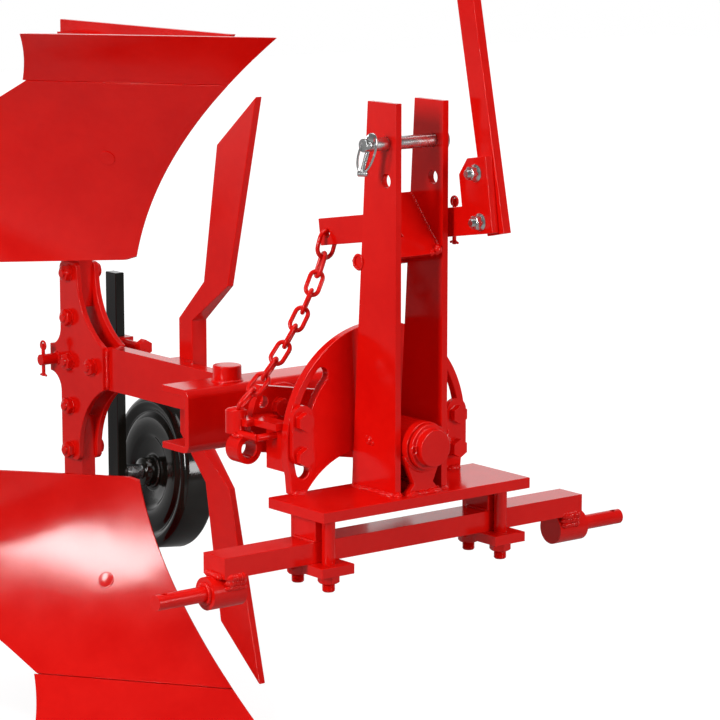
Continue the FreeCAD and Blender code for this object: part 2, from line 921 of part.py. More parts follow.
half_leg = s.bracket_leg
bracket_front = s.bracket_arm_back + s.bracket_arm_wide
bracket = plate(
    "bracket_body", "xz",
    [
        (0, -half_leg),
        (bracket_front, -half_leg),
        (bracket_front, s.bracket_top),
        (s.bracket_arm_back + s.bracket_chamfer, s.bracket_top),
        (s.bracket_arm_back, s.bracket_top - s.bracket_chamfer),
        (s.bracket_arm_back, half_leg),
        (0, half_leg, half_leg, 1),
        (-half_leg, 0, half_leg, 1),
    ],
    s.bracket_thick,
)
place(bracket, s.rocker_ahead, s.bracket_face, s.rocker_up, TILT, s.rocker_tilt)
boss_end = s.rocker_reach - s.cotter_inset - s.cotter_dia
boss_at = (s.rocker_ahead, rocker_end, s.rocker_up)
bracket_boss = rod("bracket_boss", "y", boss_at, boss_end - rocker_end, s.bracket_boss_dia)
bracket_bore = rod("bracket_bore", "y", boss_at, boss_end - rocker_end, s.rocker_dia)
bracket_whole = fuse("bracket_whole", bracket, bracket_boss)
keep("lever_bracket", cut("bracket_bored", bracket_whole, bracket_bore))

lever_back = s.lever_front - s.lever_wide
lever = plate(
    "lever_body", "xz",
    [
        (lever_back, -s.lever_below),
        (s.lever_front, -s.lever_below),
        (s.lever_front, s.lever_above),
        (lever_back, s.lever_above),
    ],
    s.lever_thick,
)
keep("hand_lever", place(lever, s.rocker_ahead, lever_outer, s.rocker_up, TILT, s.lever_lean))


def lever_point(along, up):
    """Where a point of the lever's own outline stands in the plough's frame."""
    x = s.rocker_ahead + along * cosine(s.lever_lean) - up * sine(s.lever_lean)
    z = s.rocker_up + along * sine(s.lever_lean) + up * cosine(s.lever_lean)
    return x, z


grip_x, grip_z = lever_point(lever_back + s.lever_wide / 2, s.lever_above)
grip = doc.addObject("Part::Cylinder", "grip_body")
bind(grip, "Radius", s.grip_dia / 2)
bind(grip, "Height", s.grip_long)
place(grip, grip_x, lever_outer + s.lever_thick / 2, grip_z, TILT, s.lever_lean)
keep("lever_grip", grip)

lever_bolts = []
lever_face = lever_outer + s.lever_thick
nut_face = s.bracket_face - s.lever_bolt_dia
tail_face = nut_face - s.lever_bolt_tail
for i in (0, 1):
    along = lever_back + s.lever_bolt_in - s.lever_bolt_shift * (1 - i)
    x, z = lever_point(along, s.lever_bolt_low + i * s.lever_bolt_pitch)
    flange = rod(
        f"lever_nut_flange_{i}", "y", (x, s.bracket_face - s.lever_nut_flange, z),
        s.lever_nut_flange, s.lever_bolt_flange,
    )
    nut = hexagon(
        f"lever_nut_hex_{i}", "y", (x, nut_face, z), s.lever_bolt_dia, s.lever_bolt_across,
    )
    tail = rod(f"lever_bolt_tip_{i}", "y", (x, tail_face, z), s.lever_bolt_dia, s.lever_bolt_dia)
    lever_bolts.append(fuse(f"lever_nut_{i}", flange, nut, tail))
    lever_bolts.append(hexagon(
        f"lever_bolt_head_{i}", "y", (x, lever_face, z), s.lever_head_high, s.lever_bolt_across,
    ))
keep("lever_bolts", group("lever_bolt_set", *lever_bolts))


# ---------------------------------------------------------------- chain

LINK_BENDS = 4
LINK_FLATS = 6


def chain_link(start, end, across, wide):
    """An oval link between two joints, of faceted wire: a ring of flats carried round the oval."""
    wire_radius = SIZES["link_wire"] / 2
    along = (end - start).normalize()
    across = (across - along * across.dot(along)).normalize()
    upright = along.cross(across)
    bend = wide / 2 - wire_radius
    inner = start.distanceToPoint(end) / 2 + wire_radius + SIZES["link_slack"] / 2 - bend
    middle = (start + end) * 0.5
    rings = []
    for end_sign in (1, -1):
        for step in range(LINK_BENDS + 1):
            turn = math.pi * step / LINK_BENDS
            outward = along * (math.sin(turn) * end_sign) + across * (math.cos(turn) * end_sign)
            centre = middle + along * (inner * end_sign) + outward * bend
            rings.append([
                centre + outward * (wire_radius * math.cos(flat)) + upright * (wire_radius * math.sin(flat))
                for flat in (2 * math.pi * side / LINK_FLATS for side in range(LINK_FLATS))
            ])
    faces = []
    for ring, following in zip(rings, rings[1:] + rings[:1]):
        for side in range(LINK_FLATS):
            beside = (side + 1) % LINK_FLATS
            corners = [ring[side], ring[beside], following[beside], following[side]]
            faces.append(Part.Face(Part.makePolygon(corners + corners[:1])))
    return Part.makeSolid(Part.makeShell(faces))


def hang(top, belly, low, first, pitch):
    """Joints down the curve that a slack chain hangs in: the first link's pitch, then equal pitches.

    The curve is a parabola: it leaves the top towards the belly point and
    arrives at the low end from it. The pitch gives way a little, so that a
    whole number of links reaches the low end.
    """
    steps = 2000
    spots = []
    for i in range(steps + 1):
        f = i / steps
        spots.append(top * (1 - f) ** 2 + belly * (2 * f * (1 - f)) + low * f ** 2)
    total = sum(a.distanceToPoint(b) for a, b in zip(spots, spots[1:]))
    count = round((total - first) / pitch)
    marks = [first + k * (total - first) / count for k in range(count)]
    joints = [top]
    run = 0
    for a, b in zip(spots, spots[1:]):
        run += a.distanceToPoint(b)
        if len(joints) <= count and run >= marks[len(joints) - 1]:
            joints.append(b)
    return joints + [low]


latch_x = s.quadrant_face - s.quadrant_thick - s.latch_back
hook_u = SIZES["arm_hook_inset"] - SIZES["arm_tail"]
hook_w = SIZES["arm_hook_up"]
tilt = math.radians(SIZES["rocker_tilt"])
hook = Vector(
    SIZES["rocker_ahead"] + hook_u * math.cos(tilt) - hook_w * math.sin(tilt),
    SIZES["arm_face"] + SIZES["arm_thick"] / 2,
    SIZES["rocker_up"] + hook_u * math.sin(tilt) + hook_w * math.cos(tilt),
)
latch_top = SIZES["latch_up"] + SIZES["latch_lug_high"] / 2
chain_end = Vector(
    latch_x.value + SIZES["chain_end_ahead"], -SIZES["latch_out"],
    latch_top + SIZES["link_wire"] + SIZES["link_slack"],
)
chain_belly = Vector(hook.x, hook.y - SIZES["chain_swing"], hook.z - SIZES["chain_belly"])
joints = hang(hook, chain_belly, chain_end, SIZES["first_link_pitch"], SIZES["link_pitch"])
links = []
for i, (start, end) in enumerate(zip(joints, joints[1:])):
    run = (end - start).normalize()
    turned_by = math.radians(SIZES["chain_twist"]) * min(i, 2) / 2
    flat = Vector(math.sin(turned_by), math.cos(turned_by), 0)
    flat = flat if i % 2 == 0 else run.cross(flat)
    wide = SIZES["first_link_wide"] if i == 0 else SIZES["link_wide"]
    links.append(chain_link(start, end, flat, wide))
keep("latch_chain", shaped("chain_links", Part.makeCompound(links)))

# ---------------------------------------------------------------- latch on the headstock

latch_low = s.latch_up - s.latch_lug_high / 2
latch_lug = rod(
    "latch_lug_solid", "z", (latch_x, -s.latch_out, latch_low), s.latch_lug_high, s.latch_lug_dia,
)
latch_web = box(
    "latch_web_solid", (quadrant_back - s.latch_web_long, quadrant_back),
    (-s.latch_web_out - s.latch_web_thick, -s.latch_web_out),
    (s.latch_up - s.latch_web_high, s.latch_up - s.latch_bar_thick / 2),
)
latch_bar = box(
    "latch_bar_solid", (latch_x, latch_x + s.latch_bar_wide),
    (-s.latch_out, -s.latch_out + s.latch_bar_long),
    (s.latch_up - s.latch_bar_thick / 2, s.latch_up + s.latch_bar_thick / 2),
)
latch_arm = box(
    "latch_arm_solid", (latch_x, quadrant_back),
    (-s.latch_web_out - s.latch_bar_wide, -s.latch_web_out),
    (s.latch_up - s.latch_bar_thick / 2, s.latch_up + s.latch_bar_thick / 2),
)
rod_out = s.latch_out + s.latch_rod_dia / 4
rod_up = s.latch_up - s.latch_lug_high / 2
latch_rod = rod(
    "latch_rod_solid", "x", (latch_x, -rod_out, rod_up), s.latch_back - s.latch_web_long / 2, s.latch_rod_dia,
)
latch_rod_end = rod(
    "latch_rod_end", "y", (latch_x + s.latch_back - s.latch_web_long / 2, -rod_out, rod_up),
    rod_out - s.latch_web_out, s.latch_rod_dia,
)
keep("latch", fuse("latch_whole", latch_web, latch_bar, latch_arm, latch_lug, latch_rod, latch_rod_end))

eye_at = (latch_x, -s.latch_out + s.latch_eye_in, s.latch_up - s.latch_eye_drop)
latch_eye = rod("latch_eye_solid", "x", eye_at, s.latch_eye_long, s.latch_eye_outer)
latch_hole = rod("latch_eye_hole", "x", eye_at, s.latch_eye_long, s.latch_eye_bore)
keep("latch_eye", cut("latch_eye_ring", latch_eye, latch_hole, parts["latch"]))

# ---------------------------------------------------------------- turnover shaft, disc and channel beam

collar_start = s.sleeve_front + s.collar_gap
shaft_long = s.shaft_nose - s.channel_face
shaft_bar = rod("shaft_bar", "x", (s.channel_face, 0, s.shaft_up), shaft_long, s.shaft_dia)
shaft_collar = rod("shaft_collar", "x", (collar_start, 0, s.shaft_up), s.collar_thick, s.collar_dia)
keep("turnover_shaft", fuse("shaft_whole", shaft_bar, shaft_collar))

# the index plate leans about the shaft, so that each half turn brings the same end up
disc_back = s.disc_face - s.disc_thick
disc_round = rod("disc_round", "x", (disc_back, 0, s.shaft_up), s.disc_thick, 2 * s.disc_radius)
disc_edge_out = s.disc_radius * cosine(s.disc_lean) + s.disc_half * sine(s.disc_lean)
disc_edge_up = s.disc_radius * sine(s.disc_lean) - s.disc_half * cosine(s.disc_lean)
disc_edge_in = s.disc_radius * cosine(s.disc_lean) - s.disc_half * sine(s.disc_lean)
disc_edge_top = s.disc_radius * sine(s.disc_lean) + s.disc_half * cosine(s.disc_lean)
disc_band = plate(
    "disc_band", "yz",
    [
        (-disc_edge_out, s.shaft_up + disc_edge_up),
        (disc_edge_in, s.shaft_up - disc_edge_top),
        (disc_edge_out, s.shaft_up - disc_edge_up),
        (-disc_edge_in, s.shaft_up + disc_edge_top),
    ],
    s.disc_thick,
)
place(disc_band, disc_back, 0, 0)
disc = common("disc_solid", disc_round, disc_band)
disc_bore = rod("disc_bore", "x", (disc_back, 0, s.shaft_up), s.disc_thick, s.shaft_dia)
disc_holes = []
disc_bolts = []
for i, side in enumerate((0, 180)):
    out, up = polar(s.disc_radius - s.disc_hole_inset, side - s.disc_hole_step)
    disc_holes.append(rod(
        f"disc_hole_{i}", "x", (disc_back, out, up), s.disc_thick, s.disc_hole_dia,
    ))
    out, up = polar(s.disc_radius - s.disc_bolt_inset, side - s.disc_hole_step)
    disc_bolts.append(hexagon(
        f"disc_bolt_{i}", "x", (s.disc_face, out, up), s.disc_bolt_high, s.disc_bolt_across,
    ))
keep("index_plate", cut("disc_bored", disc, disc_bore, *disc_holes))
keep("index_bolts", group("index_bolt_set", *disc_bolts))

hub_long = disc_back - s.channel_face
hub_outer = rod("hub_outer", "x", (s.channel_face, 0, s.shaft_up), hub_long, s.hub_dia)
hub_bore = rod("hub_bore", "x", (s.channel_face, 0, s.shaft_up), hub_long, s.shaft_dia)
keep("hub_tube", cut("hub_ring", hub_outer, hub_bore))

half_channel = s.channel_high / 2
channel_back = s.channel_face - s.channel_deep
channel_low = s.shaft_up - half_channel
channel_top = s.shaft_up + half_channel
corner = s.channel_round
corner_in = s.channel_round - s.channel_wall
channel_section = plate(
    "channel_body", "xz",
    [
        (channel_back, channel_low),
        (s.channel_face - corner, channel_low, corner, 1),
        (s.channel_face, channel_low + corner),
        (s.channel_face, channel_top - corner, corner, 1),
        (s.channel_face - corner, channel_top),
        (channel_back, channel_top),
        (channel_back, channel_top - s.channel_wall),
        (s.channel_face - corner, channel_top - s.channel_wall, corner_in, -1),
        (s.channel_face - s.channel_wall, channel_top - corner),
        (s.channel_face - s.channel_wall, channel_low + corner, corner_in, -1),
        (s.channel_face - corner, channel_low + s.channel_wall),
        (channel_back, channel_low + s.channel_wall),
    ],
    2 * s.channel_half,
)
keep("channel_beam", place(channel_section, 0, -s.channel_half, 0))
keep("channel_boss", rod(
    "channel_boss_rod", "z", (s.channel_face - s.channel_boss_back, -s.channel_boss_out, channel_top),
    s.channel_boss_high, s.channel_boss_dia,
))

half_beam = s.beam_thick / 2
beam_front = s.channel_face - s.channel_wall
beam_high = s.beam_high / 2
beam = plate(
    "beam_body", "xz",
    [
        (s.beam_end - s.beam_lap, s.shaft_up - beam_high),
        (beam_front, s.shaft_up - beam_high),
        (beam_front, s.shaft_up + beam_high),
        (s.beam_end - s.beam_lap, s.shaft_up + beam_high),
    ],
    s.beam_thick,
)
place(beam, 0, -half_beam, 0)
keep("plough_beam", cut("beam_fitted", beam, parts["channel_beam"]))

# ---------------------------------------------------------------- frog plates with their bolts

front_end = s.beam_end
arm_right = s.frog_centre + s.frog_arm_half
arm_left = s.frog_centre - s.frog_arm_back
rear_end = s.frog_centre - s.frog_rear_end
top_end = s.shaft_up + s.frog_reach
low_end = s.shaft_up - s.frog_reach
neck = front_end - arm_right
front_round = (neck * neck + s.frog_sweep * s.frog_sweep) / (2 * neck)
rear_step = s.frog_rear_half + s.frog_rear_round
soft = s.frog_corner
frog_outline = [
    (arm_left, top_end - soft),
    (arm_left, s.shaft_up + rear_step, s.frog_rear_round, -1),
    (arm_left - s.frog_rear_round, s.shaft_up + s.frog_rear_half),
    (rear_end, s.shaft_up + s.frog_rear_half),
    (rear_end, s.shaft_up - s.frog_rear_half),
    (arm_left - s.frog_rear_round, s.shaft_up - s.frog_rear_half, s.frog_rear_round, -1),
    (arm_left, s.shaft_up - rear_step),
    (arm_left, low_end + soft, soft, 1),
    (arm_left + soft, low_end),
    (arm_right - soft, low_end, soft, 1),
    (arm_right, low_end + soft),
    (arm_right, s.shaft_up - beam_high - s.frog_sweep, front_round, -1),
    (front_end, s.shaft_up - beam_high),
    (front_end, s.shaft_up + beam_high, front_round, -1),
    (arm_right, s.shaft_up + beam_high + s.frog_sweep),
    (arm_right, top_end - soft, soft, 1),
    (arm_right - soft, top_end),
    (arm_left + soft, top_end, soft, 1),
]
for word, face in (("right", -half_beam - s.frog_thick), ("left", half_beam)):
    frog = plate(f"frog_{word}_body", "xz", frog_outline, s.frog_thick)
    keep(f"frog_plate_{word}", place(frog, 0, face, 0))

frog_bolts = []
bolt_spots = [(s.frog_centre, s.shaft_up + n * s.bolt_pitch) for n in (-2, -1, 0, 1, 2)]
bolt_spots.append((s.frog_centre + s.frog_front_bolt, s.shaft_up))
frog_face = half_beam + s.frog_thick
middle_bolt = 2
for i, (x, z) in enumerate(bolt_spots):
    for j, y in enumerate((-frog_face - s.frog_bolt_high, frog_face)):
        if j and i == middle_bolt:
            continue
        frog_bolts.append(hexagon(
            f"frog_bolt_{i}_{j}", "y", (x, y, z), s.frog_bolt_high, s.frog_bolt_across,
        ))
keep("frog_bolts", group("frog_bolt_set", *frog_bolts))

rear_pin_x = s.frog_centre - s.rear_pin_back
rear_pin = rod(
    "rear_pin_rod", "y", (rear_pin_x, -s.rear_pin_reach, s.shaft_up),
    s.rear_pin_reach - frog_face, s.rear_pin_dia,
)
rear_cotter = rod(
    "rear_cotter_rod", "z",
    (rear_pin_x, -s.rear_pin_reach + s.cotter_inset, s.shaft_up - s.rear_cotter_long / 2),
    s.rear_cotter_long, s.cotter_dia,
)
keep("rear_pin", fuse("rear_pin_whole", rear_pin, rear_cotter))

# ---------------------------------------------------------------- bodies: share, mouldboard, shank, landside

def twist(up):
    """The angle between a level line of the mouldboard and the direction of travel."""
    return SIZES["twist_least"] + ((up - SIZES["twist_height"]) / SIZES["twist_spread"]) ** 2


def shin_x(up):
    """How far ahead the shin is at a height above the sole."""
    return SIZES["point_ahead"] - SIZES["shin_slope"] * up + up * up / SIZES["shin_bow"]


def board_point(up, along):
    """A point of the working face, by its height above the sole and its reach."""
    angle = math.radians(twist(up))
    return Vector(
        shin_x(up) - along * math.cos(angle),
        SIZES["wall_plane"] - along * math.sin(angle),
        SIZES["shaft_up"] - SIZES["sole"] + up,
    )


def face_between(low, high, start, end, steps_up, steps_along):
    """The working face as one smooth surface through a grid of its own points."""
    grid = [
        [
            board_point(low + (high - low) * i / steps_up, start + (end - start) * j / steps_along)
            for j in range(steps_along + 1)
        ]
        for i in range(steps_up + 1)
    ]
    surface = Part.BSplineSurface()
    surface.interpolate(grid)
    return surface.toShape()


def thick_sheet(low, high, start, end, thick, behind=0):
    """The working face given its thickness towards the back, from a depth behind it."""
    face = face_between(low, high, start, end, 10, 8)
    u0, u1, v0, v1 = face.ParameterRange
    middle = face.normalAt((u0 + u1) / 2, (v0 + v1) / 2)
    way = -1 if middle.x > 0 else 1
    if behind:
        face = face.makeOffsetShape(way * behind, 0.01)
    return face.makeOffsetShape(way * thick, 0.01, fill=True)


def side_prism(corners):
    """A prism through the whole width over an outline in the side view."""
    floor = SIZES["shaft_up"] - SIZES["sole"]
    width = 2 * SIZES["board_reach"]
    points = [Vector(x, -width, floor + up) for x, up in corners]
    wire = Part.makePolygon(points + points[:1])
    return Part.Face(wire).extrude(Vector(0, 2 * width, 0))


def board_shape():
    """The mouldboard: the curved sheet trimmed to its outline in the side view."""
    low = SIZES["share_high"] + SIZES["share_gap"]
    high = SIZES["board_top"]
    corner = SIZES["board_corner"]
    reach = SIZES["board_reach"]
    tail_in = SIZES["board_tail_in"]
    tail_low = SIZES["board_tail_low"]
    heel = SIZES["board_heel"]
    sheet_solid = thick_sheet(low, high + 2 * corner, 0, reach, SIZES["board_thick"])
    keep_prism = side_prism([
        (SIZES["point_ahead"], 0),
        (SIZES["point_ahead"], high - 2 * corner),
        (shin_x(high - corner) + corner, high - corner),
        (shin_x(high) - corner, high),
        (board_point(high, reach).x, high + corner),
        (board_point(high, reach).x + tail_in / 2, high - tail_in),
        (board_point(tail_low, reach).x + tail_in, tail_low),
        (board_point(low, heel).x, low),
        (board_point(low, heel).x, 0),
    ])
    return sheet_solid.common(keep_prism)


def share_shape():
    """The share: the foot of the working face, cut off square at the wing."""
    high = SIZES["share_high"]
    reach = SIZES["cut_width"] / math.sin(math.radians(twist(0)))
    sheet_solid = thick_sheet(0, high, 0, reach, SIZES["share_thick"])
    margin = SIZES["share_thick"] * 4
    wing = board_point(0, reach)
    keep_prism = side_prism([
        (SIZES["point_ahead"] + margin, 0),
        (SIZES["point_ahead"] + margin, high + margin),
        (wing.x - high, high + margin),
        (wing.x - high, high),
        (wing.x, 0),
    ])
    return sheet_solid.common(keep_prism)


def flange_shape(low, high, thickness):
    """The frog's flange behind one sheet, which it carries on its front face."""
    start = SIZES["flange_start"]
    reach = SIZES["flange_wide"]
    behind = thickness + SIZES["body_gap"]
    return solid_of(thick_sheet(low, high, start, reach, SIZES["flange_thick"], behind))


def solid_of(shape):
    """The one solid in a shape."""
    solids = sorted(shape.Solids, key=lambda piece: piece.Volume)
    return solids[-1]


board = shaped("board_low_body", solid_of(board_shape()))
share = shaped("share_low_body", solid_of(share_shape()))

floor_level = s.shaft_up - s.sole
wall_inner = half_beam + s.landside_clear
shank_front = s.shank_centre + s.shank_wide / 2
shank_back = s.shank_centre - s.shank_wide / 2


def shin_at(up):
    """The shin's place as a size, so that the leg follows the mouldboard."""
    return s.point_ahead - s.shin_slope * up + up * up / s.shin_bow


shank_top = s.shaft_up - s.frog_reach + s.bolt_pitch
shank = box(
    "shank_solid", (shank_back, shank_front), (-half_beam, half_beam),
    (floor_level + s.landside_high / 4, shank_top),
)
frog_marks = [s.web_foot, (s.web_foot + s.web_shoulder) / 2, s.web_shoulder]
web_top = s.web_shoulder + s.shank_nose
web_plate = plate(
    "web_body", "xz",
    [
        (shank_back, floor_level + frog_marks[0]),
        *[(shin_at(mark) - s.web_clear, floor_level + mark) for mark in frog_marks],
        (shank_front, floor_level + web_top),
        (shank_back, floor_level + web_top),
    ],
    s.web_thick,
)
place(web_plate, 0, half_beam - s.web_thick, 0)
share_high = SIZES["share_high"]
flange_low = shaped("flange_share_body", flange_shape(share_high / 4, share_high, SIZES["share_thick"]))
flange_high = shaped(
    "flange_board_body",
    flange_shape(share_high, SIZES["web_shoulder"] + SIZES["flange_wide"] / 2, SIZES["board_thick"]),
)
leg = fuse("leg_low_body", shank, web_plate, flange_low, flange_high)

landside = plate(
    "landside_low_body", "xz",
    [
        (s.landside_back, floor_level),
        (shin_at(Size.of(0)) - s.web_clear * 2, floor_level),
        (shin_at(s.landside_high) - s.web_clear, floor_level + s.landside_high),
        (s.landside_back, floor_level + s.landside_high),
    ],
    s.landside_thick,
)
place(landside, 0, half_beam, 0)

for word, source in (("mouldboard", board), ("share", share), ("leg", leg), ("landside", landside)):
    keep(f"{word}_lower", source)
    keep(f"{word}_upper", mirrored(f"{word}_upper_body", source, s.shaft_up))


# ---------------------------------------------------------------- coulters

def section_wire(x0, x1, y0, y1, up):
    """A rectangle across a coulter, at a distance from the shaft."""
    level = SIZES["shaft_up"] - up
    corners = [Vector(x0, y0, level), Vector(x1, y0, level), Vector(x1, y1, level), Vector(x0, y1, level)]
    return Part.makePolygon(corners + corners[:1])


def coulter_shape():
    """The lower coulter: a square stalk, a joggle and a forward-raked knife."""
    stalk_in = SIZES["stalk_inner"]
    stalk_out = stalk_in + SIZES["stalk_thick"]
    back = SIZES["stalk_back"]
    front = back + SIZES["stalk_wide"]
    blade_in = SIZES["coulter_blade_face"]
    blade_out = blade_in + SIZES["coulter_blade_thick"]
    rake = math.tan(math.radians(SIZES["coulter_blade_rake"]))
    reach = SIZES["stalk_reach"]
    bend = SIZES["coulter_bend_end"]
    blade_back = SIZES["coulter_blade_back"]
    blade_front = blade_back + SIZES["coulter_blade_wide"]
    tip = SIZES["coulter_tip"]
    stalk = Part.makeBox(
        front - back, stalk_out - stalk_in, reach,
        Vector(back, stalk_in, SIZES["shaft_up"] - reach),
    )
    joggle = Part.makeLoft([
        section_wire(back, front, stalk_in, stalk_out, reach),
        section_wire(blade_back, blade_front, blade_in, blade_out, bend),
    ], True, True)
    depth = tip - bend
    heel = SIZES["coulter_heel"]
    outline = [
        Vector(blade_back, blade_in, SIZES["shaft_up"] - bend),
        Vector(blade_front, blade_in, SIZES["shaft_up"] - bend),
        Vector(SIZES["coulter_tip_ahead"], blade_in, SIZES["shaft_up"] - tip),
        Vector(blade_back + rake * (heel - bend), blade_in, SIZES["shaft_up"] - heel),
    ]
    blade = Part.Face(Part.makePolygon(outline + outline[:1])).extrude(Vector(0, blade_out - blade_in, 0))
    return stalk.fuse([joggle, blade]).removeSplitter()


coulter = shaped("coulter_low_body", solid_of(coulter_shape()))
keep("coulter_lower", coulter)
keep("coulter_upper", mirrored("coulter_upper_body", coulter, s.shaft_up))

bracket_front = s.stalk_back + s.stalk_wide
coulter_bracket = box(
    "coulter_bracket_solid", (s.stalk_back, bracket_front), (half_beam, s.stalk_inner),
    (s.shaft_up - s.coulter_bracket_high / 2, s.shaft_up + s.coulter_bracket_high / 2),
)
keep("coulter_bracket", coulter_bracket)

# ---------------------------------------------------------------- depth wheel with its post

post_front = s.post_centre + s.post_long / 2
post_back = s.post_centre - s.post_long / 2
post_outer = s.post_face + s.post_thick
post = box(
    "post_solid", (post_back, post_front), (s.post_face, post_outer),
    (s.shaft_up - s.post_below, s.shaft_up + s.post_above),
)
keep("wheel_post", post)

socket_outer = box(
    "socket_outer", (post_back - s.socket_wall, post_front + s.socket_wall),
    (frog_face, post_outer + s.socket_wall),
    (s.shaft_up - s.socket_high / 2, s.shaft_up + s.socket_high / 2),
)
socket_hole = box(
    "socket_hole", (post_back, post_front), (s.post_face, post_outer),
    (s.shaft_up - s.socket_high / 2, s.shaft_up + s.socket_high / 2),
)
screw_up = s.shaft_up + s.set_screw_up
screw_at = (post_front + s.socket_wall, s.post_face + s.post_thick / 2, screw_up)
set_screw = rod("set_screw_rod", "x", screw_at, s.set_screw_long, s.set_screw_dia)
screw_head = hexagon(
    "set_screw_head", "x", (screw_at[0] + s.set_screw_long, screw_at[1], screw_up),
    s.set_screw_dia, s.set_screw_across,
)
socket_whole = fuse("socket_whole", socket_outer, set_screw, screw_head)
keep("post_socket", cut("socket_bored", socket_whole, socket_hole))

# the axle slopes down and outwards from the post, so that the wheel leans out at the top,
# and its outer end stands a little forward
axle_up = s.shaft_up - s.axle_drop
camber = s.wheel_camber
toe = s.wheel_toe
post_middle = s.post_face + s.post_thick / 2
rim_centre = s.post_centre + (s.wheel_in - post_middle) * sine(toe) / cosine(toe)
ACROSS_AXLE = Vector(-cosine(toe).value, sine(toe).value, 0)
LEAN = Vector(-sine(camber).value, 0, -(sine(toe) * cosine(camber)).value)


def along_axle(out):
    """A point of the wheel's axis, by its distance outwards from the rim's near edge."""
    level = out * cosine(camber)
    return rim_centre + level * sine(toe), s.wheel_in + level * cosine(toe), axle_up - out * sine(camber)


def sloped(thing, out):
    """Put a piece made along Z on the wheel's axis, starting at that distance."""
    return place(thing, *along_axle(out), ACROSS_AXLE, 90 + camber)


to_post = s.post_face - s.wheel_in
axle_length = s.wheel_wide + s.wheel_gap + s.axle_nut_high - to_post
axle = sloped(rod("axle_solid", "z", (0, 0, 0), axle_length, s.axle_dia), to_post)
shoulder_length = -s.hub_out - s.wheel_gap - to_post
axle_shoulder = sloped(
    rod("axle_shoulder", "z", (0, 0, 0), shoulder_length, s.axle_shoulder_dia), to_post,
)
axle_nut = sloped(
    hexagon("axle_nut", "z", (0, 0, 0), s.axle_nut_high, 1.5 * s.axle_dia), s.wheel_wide + s.wheel_gap,
)
axle_room = box(
    "axle_room", (post_back - s.axle_dia, post_front + s.axle_dia),
    (s.post_face - s.axle_dia, post_outer),
    (axle_up - s.wheel_dia / 2, axle_up + s.wheel_dia / 2),
)
axle_whole = fuse("axle_whole", axle, axle_shoulder, axle_nut)
keep("wheel_axle", cut("axle_fitted", axle_whole, axle_room))

rim = s.wheel_dia / 2
wheel_bore = s.axle_dia / 2 + s.wheel_clear
wheel_body = turned("wheel_turned", [
    (-s.hub_out, wheel_bore),
    (s.wheel_wide, wheel_bore),
    (s.wheel_wide, s.wheel_hub_dia / 2),
    (s.wheel_dish + s.wheel_wall, s.wheel_hub_dia / 2),
    (s.wheel_wall * 2, rim - s.wheel_wall),
    (s.wheel_wide, rim - s.wheel_wall),
    (s.wheel_wide, rim),
    (0, rim),
    (0, rim - s.wheel_wall * 4),
    (s.wheel_dish, s.wheel_hub_dia / 2),
    (-s.hub_out, s.wheel_hub_dia / 2),
])
keep("wheel", place(wheel_body, *along_axle(0), LEAN, arccosine(cosine(camber) * cosine(toe))))

# ---------------------------------------------------------------- checks and export

doc.recompute()
failed = [thing.Name for thing in doc.Objects if {"Invalid", "Error"} & set(thing.State)]
if failed:
    raise RuntimeError(f"objects that failed: {failed}")
os.makedirs("parts", exist_ok=True)
for node, thing in parts.items():
    shape = thing.Shape
    if shape.isNull() or not shape.isValid() or not shape.Solids:
        raise RuntimeError(f"{node} has no sound shape")
    shape.exportStep(f"parts/{node}.step")
    print(f"{node}: {len(shape.Solids)} solids, {shape.Volume / 1000:.1f} cm3")
print(f"{len(parts)} nodes, {sum(t.Shape.Volume for t in parts.values()) * 7.85e-6:.1f} kg of steel")
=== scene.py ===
"""Looks of a single-furrow reversible mouldboard plough.

The solids stay where the frame puts them. Painted steel gets its enamel and rolled or
sawn edges get their small rounding; welds, bolts, the chain and the pins are built here.
"""
import json
import math

import bmesh
import bpy
import numpy as np
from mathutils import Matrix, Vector


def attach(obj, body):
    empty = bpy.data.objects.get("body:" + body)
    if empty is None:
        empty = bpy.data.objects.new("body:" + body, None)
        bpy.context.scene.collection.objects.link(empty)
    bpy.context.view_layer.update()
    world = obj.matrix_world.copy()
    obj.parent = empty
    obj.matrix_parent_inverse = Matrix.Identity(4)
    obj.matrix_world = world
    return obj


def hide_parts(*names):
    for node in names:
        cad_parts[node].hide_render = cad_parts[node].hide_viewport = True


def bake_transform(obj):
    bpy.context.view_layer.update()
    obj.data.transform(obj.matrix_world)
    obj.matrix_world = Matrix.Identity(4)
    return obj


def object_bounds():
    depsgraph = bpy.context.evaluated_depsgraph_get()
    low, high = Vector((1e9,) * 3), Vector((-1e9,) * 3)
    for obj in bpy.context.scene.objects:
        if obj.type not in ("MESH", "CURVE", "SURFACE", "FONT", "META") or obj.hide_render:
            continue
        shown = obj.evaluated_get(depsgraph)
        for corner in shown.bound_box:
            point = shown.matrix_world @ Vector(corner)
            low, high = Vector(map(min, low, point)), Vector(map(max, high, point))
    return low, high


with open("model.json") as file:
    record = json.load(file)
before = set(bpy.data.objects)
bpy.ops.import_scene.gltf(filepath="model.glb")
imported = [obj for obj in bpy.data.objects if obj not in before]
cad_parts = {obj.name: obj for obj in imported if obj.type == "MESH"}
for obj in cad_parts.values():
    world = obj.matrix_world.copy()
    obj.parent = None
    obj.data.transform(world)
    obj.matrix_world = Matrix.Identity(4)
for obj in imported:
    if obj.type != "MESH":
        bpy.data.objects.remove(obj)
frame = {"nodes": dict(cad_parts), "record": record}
cad_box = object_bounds()
scene = bpy.context.scene
MM = 0.001


# ---------------------------------------------------------------- colours and nodes

def linear(code):
    """An sRGB hex colour as the linear red, green, blue and alpha that shaders take."""
    parts = [int(code[i:i + 2], 16) / 255 for i in (1, 3, 5)]
    return tuple(c / 12.92 if c <= 0.04045 else ((c + 0.055) / 1.055) ** 2.4 for c in parts) + (1.0,)


